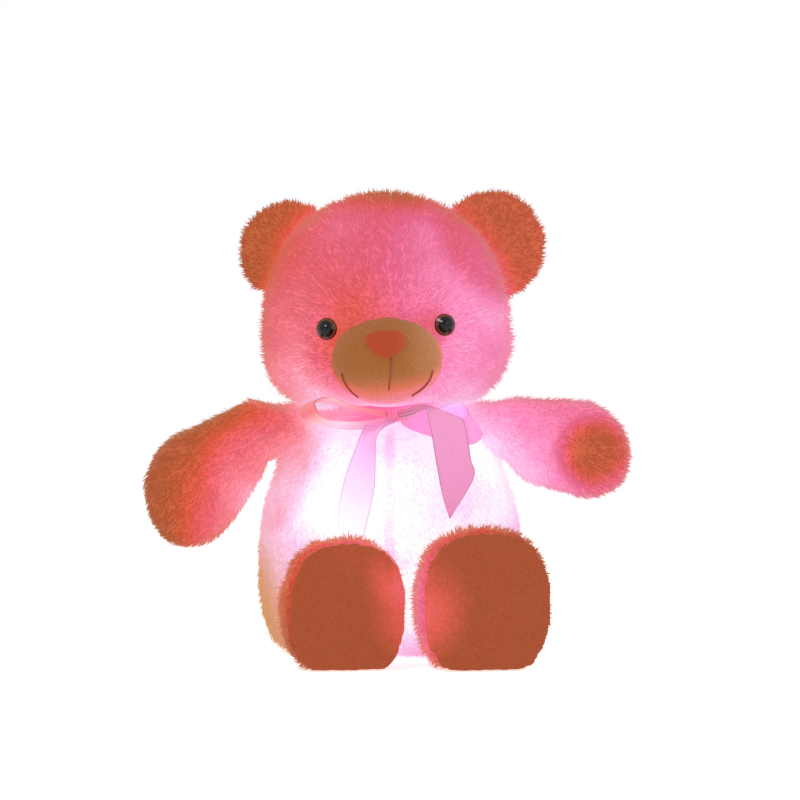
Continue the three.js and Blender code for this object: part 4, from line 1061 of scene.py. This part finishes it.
def short_pile(name, settings, material, trees, rng, hidden_by):
    """The short, dense pile of muzzle, nose and soles."""
    density = settings.tufts * SQUARE_METRE * SHORT_THICKER
    spots, ways = sown(skins[name], density, lambda at: np.ones(len(at)), rng)
    kept = ways[:, 1] < 0.5
    for other in hidden_by:
        kept[kept] = ~within(trees[other], spots[kept] + ways[kept] * MM)
    spots, ways = spots[kept][:MOST_SHORT_TUFTS], ways[kept][:MOST_SHORT_TUFTS]
    middle = spots.mean(0)
    comb = unit(spots - middle) * 0.5 + np.array((0, 0, -0.8))
    length = np.full(len(spots), settings.short_pile)
    stand = np.full(len(spots), SHORT_STAND)
    pile = grown(name + "_pile", spots, ways, comb, length, settings.tuft_width * 0.5, stand, rng)
    finish_piece(pile, name, STUFFED[name].slot, material)
    return pile


def finish_piece(piece, name, slot, material):
    """Gives a piece of plush its material and hands it to carry with the name of its stuffed piece; slot is
    not used.
    """
    piece.data.materials.clear()
    piece.data.materials.append(material)
    carry(piece, name)


# Ribbon


def through(points, count):
    """A smooth path through the points, in metres from millimetres, sampled evenly."""
    given = np.array(points, float) * MM
    ends = np.vstack((2 * given[0] - given[1], given, 2 * given[-1] - given[-2]))
    path = []
    for i in range(1, len(ends) - 2):
        a, b, c, d = ends[i - 1 : i + 3]
        t = np.linspace(0, 1, 24, endpoint=False)[:, None]
        path.append(
            0.5 * (2 * b + (c - a) * t + (2 * a - 5 * b + 4 * c - d) * t**2 + (3 * b - a - 3 * c + d) * t**3)
        )
    path = np.vstack((*path, ends[-2:-1]))
    steps = np.concatenate(((0,), np.cumsum(np.linalg.norm(np.diff(path, axis=0), axis=1))))
    wanted = np.linspace(0, steps[-1], count)
    return np.stack([np.interp(wanted, steps, path[:, i]) for i in range(3)], 1)


def front_of(trees, x, z):
    """The frontmost surface of the plush at a place seen from the front."""
    found = []
    for tree in trees:
        spot, _, _, _ = tree.ray_cast(Vector((x, -0.3, z)), Vector((0, 1, 0)), 0.32)
        if spot is not None:
            found.append(spot.y)
    return min(found) if found else 0.0


def woven_strip(name, rows, columns, settings, place, offset=-1.0):
    """A strip of ribbon. place says where each point of it lies, by its shares along and across the strip."""
    bm = bmesh.new()
    uv_layer = bm.loops.layers.uv.new("OFBake")
    bmesh.ops.create_grid(bm, x_segments=rows, y_segments=columns, size=0.5)
    shares = {vert: (vert.co.x + 0.5, vert.co.y + 0.5) for vert in bm.verts}
    for vert, (along, across) in shares.items():
        vert.co = place(along, across)
    for face in bm.faces:
        for loop in face.loops:
            loop[uv_layer].uv = shares[loop.vert]
    piece = made(name, bm)
    satin_sides = piece.modifiers.new("Satin", "SOLIDIFY")
    satin_sides.thickness = settings.thickness
    satin_sides.offset = offset
    return piece


def ribbon(name, near, far, settings, trees, pleats, end_pleats=0.0, crease=0.0, clear=None):
    """A strip of ribbon between two edges, pleated where it goes into the knot and clear of the plush."""
    rows, columns = 72, 12
    one, other = through(near, rows + 1), through(far, rows + 1)
    middle = one + other

    def place(along, across):
        row = min(rows, round(along * rows))
        a, b = one[row], other[row]
        face = unit(np.cross(middle[min(rows, row + 1)] - middle[max(0, row - 1)], b - a))
        gather = pleats * (1 - smoothstep(0, 0.35, along)) + end_pleats * smoothstep(0.65, 1, along)
        wave = gather * math.sin(across * 6 * math.pi + 0.6) + crease * math.sin(across * math.pi)
        spot = a + (b - a) * across + face * wave * MM
        if clear is not None:
            spot[1] = min(spot[1], front_of(trees, spot[0], spot[2]) - clear * MM)
        return spot

    return woven_strip(name, rows, columns, settings, place, offset=0.0)


# Operators


def settings_of(context):
    scene = context.scene
    return scene.night_pile, scene.night_glow, scene.night_bow, scene.night_stage


looks = {}


def look_of(name):
    """The look that a stuffed piece's cloth has. The feet's pile is as dark as their soles."""
    return "plush_foot" if name.startswith("leg") else STUFFED[name].slot


def plush_looks(context):
    """The plush materials, made once: each stuffed cloth's backing and pile."""
    if looks:
        return looks
    pile, glow, _, _ = settings_of(context)
    group = plush_colour(glow)
    kinds = {
        "plush": Kind(pile.plain, 1.0, 0.0, 0.0, 0.0),
        "plush_foot": Kind(pile.sole, 1.0, 0.0, 0.0, 0.0),
        "plush_sole": Kind(pile.sole, 0.50, -0.22, 0.0, 0.0),
        "plush_muzzle": Kind(pile.muzzle, 0.40, -0.16, 0.34, 0.28),
        "plush_nose": Kind(pile.nose, 0.20, -0.10, 0.0, 0.10),
    }
    for slot, kind in kinds.items():
        short = slot not in ("plush", "plush_foot")
        looks[slot] = plush(slot + "_backing", kind, group)
        looks[slot + "_hair"] = plush(slot + "_hair", kind, group, hair=True, short=short)
    return looks


class NIGHTLIGHT_OT_stuffed(bpy.types.Operator):
    """Make the stuffed pieces: body, head, ears, limbs, tail, muzzle, nose and soles"""

    bl_idname = "nightlight.stuffed"
    bl_label = "Stuffed pieces"

    def execute(self, context):
        pile, _, _, _ = settings_of(context)
        made_of = plush_looks(context)
        for name, spec in STUFFED.items():
            skins[name] = backing(name, spec)
        fill_with_stuffing(pile.swell)
        for name, piece in skins.items():
            points = points_of(piece.data)
            ways = points_of(piece.data, "normal")
            size = 0.9 * MM if STUFFED[name].slot == "plush" else 0.25 * MM
            set_points(piece.data, points + ways * soft_lumps(points, size)[:, None])
            seat(name, piece)
            refine(piece, 1 if STUFFED[name].slot == "plush" else 2)
            mark(piece.data, light_marks(name, points_of(piece.data), points_of(piece.data, "normal")))
            del piece["low"]
            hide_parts(name)
            finish_piece(piece, name, STUFFED[name].slot, made_of[look_of(name)])
        return {"FINISHED"}


class NIGHTLIGHT_OT_pile(bpy.types.Operator):
    """Grow the pile on the stuffed pieces"""

    bl_idname = "nightlight.pile"
    bl_label = "Pile"

    def execute(self, context):
        pile, _, _, _ = settings_of(context)
        if not skins:
            raise RuntimeError("The stuffed pieces come before their pile")
        made_of = plush_looks(context)
        trees = {name: tree_of(piece) for name, piece in skins.items()}
        for seed, name in enumerate(NEIGHBOURS):
            long_pile(name, pile, made_of[look_of(name) + "_hair"], trees, np.random.default_rng(seed))
        for seed, (name, hidden_by) in enumerate(SHORT_PILED.items(), start=31):
            rng = np.random.default_rng(seed)
            short_pile(name, pile, made_of[look_of(name) + "_hair"], trees, rng, hidden_by)
        return {"FINISHED"}


def eye_material():
    material, n, shader = new_material("eye_button")
    ring = n.attribute("ring")
    place = n.place()
    streaks = n.maths("MULTIPLY", n.maths("SUBTRACT", n.noise(place, 900, 3), 0.5), 0.05)
    stops = (
        (0.0, linear(4, 3, 4)), (0.68, linear(6, 4, 4)), (0.75, linear(56, 24, 14)),
        (0.85, linear(118, 54, 32)), (0.94, linear(70, 30, 20)), (1.0, linear(24, 10, 8)),
    )
    colour = n.ramp(n.maths("ADD", ring, streaks), stops)
    wire(
        n, shader, Base_Color=colour, Roughness=n.fade(n.noise(place, 500, 2), 0.3, 0.7, 0.08, 0.14),
        Coat_Weight=0.1, Coat_Roughness=0.05, Specular_IOR_Level=0.2,
    )
    return material


EYE_RADIUS = 7.5
# Half the section of an eye button, from the edge that sits in the cloth to the top of its dome: radii and
# heights in millimetres, where the top is at 0
EYE_SECTION = (
    (7.45, -5.2), (7.5, -4.6), (7.35, -4.1), (6.7, -3.6), (6.0, -3.1), (4.9, -2.2),
    (3.7, -1.2), (2.5, -0.55), (1.2, -0.12), (0.0, 0.0),
)
EYE_BACK, EYE_BACK_SHARE = -6.2, 0.8


def eye_button():
    """The domed button, pointing up, closed behind by a narrower back."""
    bm = bmesh.new()
    verts = [bm.verts.new((radius * MM, 0, height * MM)) for radius, height in EYE_SECTION]
    edges = [bm.edges.new(pair) for pair in zip(verts, verts[1:])]
    bmesh.ops.spin(
        bm, geom=verts + edges, cent=(0, 0, 0), axis=(0, 0, 1), angle=2 * math.pi, steps=40, use_merge=True
    )
    bmesh.ops.remove_doubles(bm, verts=bm.verts, dist=0.02 * MM)
    rim = [e for e in bm.edges if e.is_boundary]
    for vert in bmesh.ops.extrude_edge_only(bm, edges=rim)["geom"]:
        if isinstance(vert, bmesh.types.BMVert):
            vert.co = (vert.co.x * EYE_BACK_SHARE, vert.co.y * EYE_BACK_SHARE, EYE_BACK * MM)
    bmesh.ops.contextual_create(bm, geom=[e for e in bm.edges if e.is_boundary])
    bmesh.ops.recalc_face_normals(bm, faces=bm.faces)
    return bm


class NIGHTLIGHT_OT_eyes(bpy.types.Operator):
    """Make the domed eye buttons"""

    bl_idname = "nightlight.eyes"
    bl_label = "Eyes"

    def execute(self, context):
        material = eye_material()
        for node, axis in EYE_AXES.items():
            points = points_of(frame["nodes"][node].data)
            axis = unit(np.array(axis))
            centre = points.mean(0)
            heights = (points - centre) @ axis
            apex = centre + axis * heights.max()
            bm = eye_button()
            front = [v.co.z > (EYE_BACK + 0.2) * MM for v in bm.verts]
            from_axis = [math.hypot(v.co.x, v.co.y) / (EYE_RADIUS * MM) for v in bm.verts]
            ring = np.where(front, from_axis, 1.0)
            turn = Vector((0, 0, 1)).rotation_difference(Vector(axis)).to_matrix().to_4x4()
            bmesh.ops.transform(bm, matrix=Matrix.Translation(Vector(apex)) @ turn, verts=bm.verts)
            piece = made(node + "_button", bm)
            mark(piece.data, {"ring": ring})
            refine(piece, 1)
            piece.data.materials.append(material)
            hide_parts(node)
            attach(piece, "head")
        return {"FINISHED"}


def thread_material():
    material, n, shader = new_material("stitch_thread")
    twist = n.maths("SINE", n.maths("MULTIPLY", n.split(n.place())[2], 5200.0))
    colour = n.mix(n.fade(twist, -1.0, 1.0), linear(112, 36, 22), linear(160, 62, 40))
    wire(n, shader, Base_Color=colour, Roughness=0.7, Normal=n.bump(twist, 0.0002, 0.6))
    return material


STITCHES = {
    "mouth_stitch": ((1.3, 208), (1.2, 203), (0.8, 196), (0.1, 189), (-0.4, 183.5)),
    "smile_stitch_right": ((-31, 194), (-29.5, 189), (-26, 183.5), (-20.5, 178.6)),
    "smile_stitch_left": ((28.0, 196), (26.0, 190), (21.5, 184.5), (14.5, 179.6)),
}


class NIGHTLIGHT_OT_stitches(bpy.types.Operator):
    """Sew the mouth into the muzzle"""

    bl_idname = "nightlight.stitches"
    bl_label = "Stitched mouth"

    def execute(self, context):
        tree = tree_of(skins["muzzle"])
        material = thread_material()
        for name, places in STITCHES.items():
            path = through([(x, 0, z) for x, z in places], 40)
            curve = bpy.data.curves.new(name, "CURVE")
            curve.dimensions = "3D"
            curve.bevel_depth = 0.6 * MM
            curve.bevel_resolution = 2
            curve.use_fill_caps = True
            spline = curve.splines.new("POLY")
            spots = []
            for x, _, z in path:
                spot, normal, _, _ = tree.ray_cast(Vector((x, -0.3, z)), Vector((0, 1, 0)), 0.32)
                if spot is not None:
                    spots.append(spot + normal * 1.1 * MM)
            spline.points.add(len(spots) - 1)
            for point, spot in zip(spline.points, spots):
                point.co = (*spot, 1.0)
            piece = linked(name, curve)
            curve.materials.append(material)
            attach(piece, "head")
        return {"FINISHED"}


class NIGHTLIGHT_OT_bow(bpy.types.Operator):
    """Tie the ribbon: its band round the neck, its knot, loops and hanging ends"""

    bl_idname = "nightlight.bow"
    bl_label = "Bow"

    def execute(self, context):
        _, _, bow, _ = settings_of(context)
        trees = [tree_of(skins[name]) for name in ("body", "head", "arm_left", "arm_right")]
        for name, strip in BOW_STRIPS.items():
            piece = ribbon(name, strip.near, strip.far, bow, trees, **strip.folds)
            look = satin(name + "_satin", strip.stops, strip.light)
            self.declare(piece, strip.node, look, (bow.width, length_of(strip.near)), "folded", strip.kept)
        self.knot(bow)
        self.band(bow)
        return {"FINISHED"}

    def declare(self, piece, node, material, flat, held, kept=1.0):
        """Gives the strip its material, hides its node, and attaches the strip to the torso. kept is not used.
        """
        piece.data.materials.append(material)
        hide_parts(node)
        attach(piece, "torso")

    def knot(self, bow):
        """A short piece of ribbon pleated lengthwise and wrapped round the middle of the bow."""
        centre, half, wrapped = np.array((4.5, -66.0, 165.2)) * MM, 6.4 * MM, 30 * MM
        tilt = Matrix.Rotation(math.radians(-12), 3, "Y")

        def place(along, share):
            across, turn = 2 * share - 1, 2 * math.pi * along
            waist = 0.80 + 0.20 * across**2
            pleat = 1 + 0.23 * math.sin(across * 16 + 0.8 * math.sin(turn)) * (1 - 0.3 * across**2)
            x = half * across + 0.4 * MM * math.sin(turn)
            y, z = 4.6 * MM * math.cos(turn) * waist * pleat, 5.0 * MM * math.sin(turn) * waist * pleat
            return Vector(centre) + tilt @ Vector((x, y, z))

        piece = woven_strip("bow_knot_wrap", 48, 64, bow, place)
        # Painted light and shade: the wrap is darker at its front than at its back, which faces the glowing
        # plush
        stops = ((0.0, linear(228, 132, 176)), (0.5, linear(222, 120, 162)), (1.0, linear(228, 132, 176)))
        self.declare(piece, "bow_knot", satin("bow_knot_satin", stops, 0.35), (bow.width, wrapped), "folded")

    def band(self, bow):
        """The band round the neck, drawn into long folds by the knot."""
        low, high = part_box("neck_ribbon")
        radius = (high[0] - low[0]) / 2

        def place(along, share):
            across, turn = 2 * share - 1, 2 * math.pi * along
            drawn = 0.62 + 0.38 * smoothstep(0.0, 0.09, min(along, 1 - along))
            fold = 1.5 * math.sin(across * 6.2 + 0.7 * math.sin(3 * turn)) + 0.5 * math.sin(9 * turn + across)
            out = radius + (fold - 1.6 + 1.2 * (1 - across**2)) * MM
            rise = NECK + across * 7.2 * MM * drawn + 0.5 * MM * math.sin(2 * turn)
            return out * math.sin(turn), -out * math.cos(turn), rise

        piece = woven_strip("neck_band", 160, 20, bow, place)
        # Painted light and shade: the band's colour changes round the neck, and it is redder on its side
        # towards -x
        stops = (
            (0.0, linear(250, 140, 190)), (0.25, linear(245, 160, 215)), (0.5, linear(240, 150, 200)),
            (0.75, linear(244, 140, 150)), (1.0, linear(250, 140, 190)),
        )
        look = satin("neck_band_satin", stops, 0.3)
        self.declare(piece, "neck_ribbon", look, (bow.width, 2 * math.pi * radius), "gathered")


def length_of(points):
    return float(np.linalg.norm(np.diff(np.array(points, float), axis=0), axis=1).sum()) * MM


# The satin in painted shade at a loop's fold, half lit, and painted pale where most light comes through it
FOLD_SHADE_SATIN, ORCHID, BACKLIT_SATIN = linear(181, 88, 94), linear(226, 140, 200), linear(240, 192, 240)
# A strip of the bow: its two edges in millimetres, the imported node that it stands for, its colours along its
# length in painted light and shade, its painted glow for the light through it, how it folds, and the share of
# it that its cut end leaves
Strip = collections.namedtuple("Strip", "near far node stops light folds kept")
BOW_STRIPS = {
    "bow_loop_right_strip": Strip(
        near=(
            (0, -72, 165), (-8, -77, 163.5), (-14.9, -79, 162.7), (-25.9, -80, 161.8), (-39.6, -80, 162.7),
            (-45.6, -79, 165), (-48.9, -78, 170), (-49.8, -77, 174.6), (-45.2, -76.5, 177.6),
            (-37.8, -76, 177.4), (-28.7, -75, 173.9), (-18.5, -74, 170.8), (-8, -72, 168.6), (0, -68, 166.5),
        ),
        far=(
            (0, -63, 160), (-8, -58, 157.6), (-18.8, -56, 156.6), (-31.8, -55, 156.3), (-43.8, -55, 158.2),
            (-55.0, -57, 161.3), (-60.3, -60, 165.8), (-60.6, -60, 170.4), (-55, -57, 173.6), (-45, -55, 174),
            (-34, -54, 171.6), (-22, -54, 168.6), (-10, -57, 166.6), (0, -60, 165.5),
        ),
        node="bow_loop_right",
        stops=(
            (0.0, linear(206, 106, 142)), (0.12, linear(206, 120, 154)), (0.28, linear(200, 152, 172)),
            (0.40, linear(196, 146, 152)), (0.47, FOLD_SHADE_SATIN), (0.58, FOLD_SHADE_SATIN), (0.64, linear(200, 150, 160)),
            (0.80, linear(200, 122, 134)), (1.0, linear(204, 106, 128)),
        ),
        light=0.74, folds={"pleats": 1.5, "end_pleats": 1.5}, kept=1.0,
    ),
    "bow_loop_left_strip": Strip(
        near=(
            (8, -70, 166), (15, -74, 169.6), (22.8, -77, 172.4), (36, -78, 168.8), (49.0, -77, 163.6),
            (53.0, -75, 166.4), (52.2, -72, 170.8), (46.8, -70, 173.7), (40.3, -69, 173.2), (33, -69, 170.6),
            (20, -69, 167.8), (8, -67, 166),
        ),
        far=(
            (8, -64, 161), (11.5, -63, 157.6), (16.4, -63, 154.6), (25.7, -64, 151.6), (40.6, -64, 147.4),
            (54.5, -63, 145.9), (60.8, -60, 148.8), (63.0, -56, 153.6), (58, -52, 156), (47, -51, 157),
            (30, -53, 158), (8, -58, 161),
        ),
        node="bow_loop_left",
        stops=(
            (0.0, linear(236, 128, 180)), (0.10, linear(230, 134, 196)), (0.30, ORCHID),
            (0.44, linear(226, 134, 188)), (0.54, linear(226, 130, 190)), (0.62, BACKLIT_SATIN), (0.80, BACKLIT_SATIN),
            (1.0, ORCHID),
        ),
        light=0.42, folds={"pleats": 1.5, "end_pleats": 1.5}, kept=1.0,
    ),
    "bow_tail_left_strip": Strip(
        near=(
            (6, -68, 167.2), (14, -76, 171), (22.8, -79.5, 172.8), (25.2, -82, 167), (26.5, -82, 161.8),
            (28.6, -81, 150), (31.1, -79, 134.2), (35.6, -78, 111.2), (40.2, -78, 96.6),
        ),
        far=(
            (6, -69, 163), (14, -76, 165), (28, -79, 171), (41, -81, 166.5), (49.4, -81, 162.2),
            (52.7, -81, 148.0), (54.6, -79, 136), (56.3, -78, 123.6), (40.9, -78, 97.2),
        ),
        node="bow_tail_left",
        stops=(
            (0.0, linear(200, 118, 150)), (0.18, linear(199, 124, 161)), (0.45, linear(196, 122, 166)),
            (0.8, linear(200, 124, 168)), (1.0, linear(206, 128, 172)),
        ),
        light=0.30, folds={"pleats": 1.2, "crease": -0.8, "clear": 6.0}, kept=0.86,
    ),
    "bow_tail_right_strip": Strip(
        near=(
            (2, -68, 165), (-5, -68, 163), (-12, -67, 160), (-17.7, -68, 156), (-24.0, -71, 140.6),
            (-30.5, -74, 122.3), (-34.1, -77, 103.9), (-34.6, -78, 91.2),
        ),
        far=(
            (5, -70, 162), (2, -72, 160.6), (-2.4, -74, 158.6), (-8.6, -77, 151), (-9.4, -80, 134.2),
            (-10.0, -83, 117.7), (-12.6, -84, 103.9), (-17.4, -85, 84.6),
        ),
        node="bow_tail_right",
        stops=(
            (0.0, linear(190, 104, 150)), (0.12, linear(190, 128, 168)), (0.35, linear(192, 138, 182)),
            (0.65, linear(198, 168, 200)), (0.9, linear(212, 196, 214)), (1.0, linear(220, 210, 220)),
        ),
        light=0.72, folds={"pleats": 1.4, "crease": -0.6, "clear": 6.0}, kept=0.90,
    ),
}


def fitting_looks():
    """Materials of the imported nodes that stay: zip, battery box, lamps and their lead."""
    metal = moulded("zip_metal", linear(176, 172, 166), 0.34, 1.0, 2400, 0.00004, 0.2)
    return {
        "zip_tape": woven("zip_tape_weave", linear(238, 176, 192), 0.0012),
        "zip_bottom_stop": metal,
        "zip_slider": metal,
        "zip_pull": metal,
        "battery_pouch": woven("pouch_weave", linear(236, 226, 222), 0.0009),
        "battery_case": moulded("case_plastic", linear(236, 234, 228), 0.45),
        "battery_lid": moulded("lid_plastic", linear(232, 230, 224), 0.42),
        "lid_screw": moulded("screw_steel", linear(150, 150, 154), 0.3, 1.0, 2600, 0.00003),
        "switch_knob": moulded("knob_plastic", linear(30, 30, 32), 0.5, 0.0, 1500),
        "switch_board": moulded("board_laminate", linear(34, 92, 52), 0.45, 0.0, 1600),
        "cell": moulded("cell_jacket", linear(52, 84, 150), 0.28, 0.0, 1200, 0.00002, 0.1, 0.4),
        "contact": moulded("contact_plating", linear(196, 190, 178), 0.3, 1.0, 2200, 0.00003),
        "led_lead": moulded("lead_jacket", linear(232, 226, 214), 0.42, 0.0, 1400, 0.00003),
        "led_bead": bead_material(),
        "eye_washer": moulded("washer_plastic", linear(244, 244, 240), 0.5),
    }


def bead_material():
    material, n, shader = new_material("led_resin")
    place = n.place()
    cloud = n.noise(place, 700, 3)
    colour = n.mix(n.fade(cloud, 0.3, 0.7), linear(255, 214, 236), linear(255, 240, 250))
    wire(
        n, shader, Base_Color=colour, Roughness=n.fade(cloud, 0.2, 0.8, 0.12, 0.24), Emission_Color=colour,
        Emission_Strength=4.0, Normal=n.bump(cloud, 0.0001, 0.3),
    )
    return material


class NIGHTLIGHT_OT_fittings(bpy.types.Operator):
    """Finish the zip, the battery box, and the lamps with their lead"""

    bl_idname = "nightlight.fittings"
    bl_label = "Zip and battery box"

    def execute(self, context):
        made_of = fitting_looks()
        tied = {strip.node for strip in BOW_STRIPS.values()} | {"bow_knot", "neck_ribbon"}
        replaced = set(STUFFED) | set(EYE_AXES) | tied
        for name, node in frame["nodes"].items():
            if name in replaced:
                continue
            material = next((m for start, m in made_of.items() if name.startswith(start)), None)
            if material is None:
                raise RuntimeError(f"{name} has no finish")
            if not node.material_slots:
                node.data.materials.append(material)
            for slot in node.material_slots:
                slot.material = material
        return {"FINISHED"}


class NIGHTLIGHT_OT_stage(bpy.types.Operator):
    """Set up the floor, the lights and the camera"""

    bl_idname = "nightlight.stage"
    bl_label = "Stage"

    def execute(self, context):
        _, _, _, stage = settings_of(context)
        self.floor(stage)
        self.world(context.scene)
        self.lamps()
        self.camera(context.scene, stage)
        context.scene.view_settings.view_transform = "Standard"
        return {"FINISHED"}

    def floor(self, stage):
        bm = bmesh.new()
        bmesh.ops.create_grid(bm, x_segments=8, y_segments=8, size=6.0)
        floor = made("floor", bm, smooth=False)
        material, n, shader = new_material("floor_paper")
        place = n.place()
        cloud = n.noise(place, 3.0, 2)
        colour = n.mix(n.fade(cloud, 0.3, 0.7), tuple(c * 0.985 for c in stage.floor), tuple(stage.floor))
        wire(
            n, shader, Base_Color=colour, Roughness=0.9, Specular_IOR_Level=0.0, Emission_Color=(1, 1, 1),
            Emission_Strength=0.62, Normal=n.bump(n.noise(place, 260, 2), 0.0001, 0.1),
        )
        floor.data.materials.append(material)

    def world(self, scene):
        world = bpy.data.worlds.new("pale_studio")
        scene.world = world
        world.use_nodes = True
        n = Nodes(world.node_tree)
        shine = world.node_tree.nodes["Background"]
        path = n.add("ShaderNodeLightPath")
        seen = n.maths("MAXIMUM", path.outputs["Is Camera Ray"], path.outputs["Is Glossy Ray"])
        seen = n.maths("MAXIMUM", seen, path.outputs["Is Transmission Ray"])
        strength = n.maths("ADD", n.maths("MULTIPLY", seen, 0.42), 0.58)
        world.node_tree.links.new(strength, shine.inputs["Strength"])
        shine.inputs["Color"].default_value = (1, 1, 1, 1)

    def lamps(self):
        for name, place, power, size in (
            ("key_light", (-0.9, -1.6, 1.7), 22, 0.7),
            ("fill_light", (1.5, -1.2, 0.9), 9, 1.4),
            ("back_light", (0.3, 1.6, 1.5), 10, 1.2),
        ):
            data = bpy.data.lights.new(name, "AREA")
            data.energy = power
            data.size = size
            lamp = bpy.data.objects.new(name, data)
            bpy.context.scene.collection.objects.link(lamp)
            lamp.location = place
            lamp.rotation_euler = (Vector((0, 0, 0.16)) - Vector(place)).to_track_quat("-Z", "Y").to_euler()

    def camera(self, scene, stage):
        data = bpy.data.cameras.new("camera")
        data.lens = stage.lens
        data.sensor_width = 36
        data.clip_start, data.clip_end = 0.05, 40
        camera = bpy.data.objects.new("camera", data)
        scene.collection.objects.link(camera)
        tilt = math.radians(0.5)
        target = Vector((7, 0, 175.27)) * MM
        camera.location = target + Vector((0, -math.cos(tilt), math.sin(tilt))) * stage.distance
        camera.rotation_euler = (math.radians(90) - tilt, 0, 0)
        scene.camera = camera


OPERATORS = (
    NIGHTLIGHT_OT_stuffed,
    NIGHTLIGHT_OT_pile,
    NIGHTLIGHT_OT_eyes,
    NIGHTLIGHT_OT_stitches,
    NIGHTLIGHT_OT_bow,
    NIGHTLIGHT_OT_fittings,
    NIGHTLIGHT_OT_stage,
)
GROUPS = {
    "night_pile": PileSettings,
    "night_glow": GlowSettings,
    "night_bow": BowSettings,
    "night_stage": StageSettings,
}


class NIGHTLIGHT_PT_panel(bpy.types.Panel):
    """Sizes and colours of the night light, and the steps that build it"""

    bl_label = "Night light"
    bl_idname = "NIGHTLIGHT_PT_panel"
    bl_space_type = "VIEW_3D"
    bl_region_type = "UI"
    bl_category = "Night light"

    def draw(self, context):
        for name, group in GROUPS.items():
            box = self.layout.box()
            for field in group.__annotations__:
                box.prop(getattr(context.scene, name), field)
        for operator in OPERATORS:
            self.layout.operator(operator.bl_idname)


def register():
    for each in (*GROUPS.values(), *OPERATORS, NIGHTLIGHT_PT_panel):
        bpy.utils.register_class(each)
    for name, group in GROUPS.items():
        setattr(bpy.types.Scene, name, PointerProperty(type=group))


def unregister():
    for name in GROUPS:
        delattr(bpy.types.Scene, name)
    for each in reversed((*GROUPS.values(), *OPERATORS, NIGHTLIGHT_PT_panel)):
        bpy.utils.unregister_class(each)


def main():
    register()
    for operator in OPERATORS:
        group, name = operator.bl_idname.split(".")
        getattr(getattr(bpy.ops, group), name)()


if __name__ == "__main__":
    main()
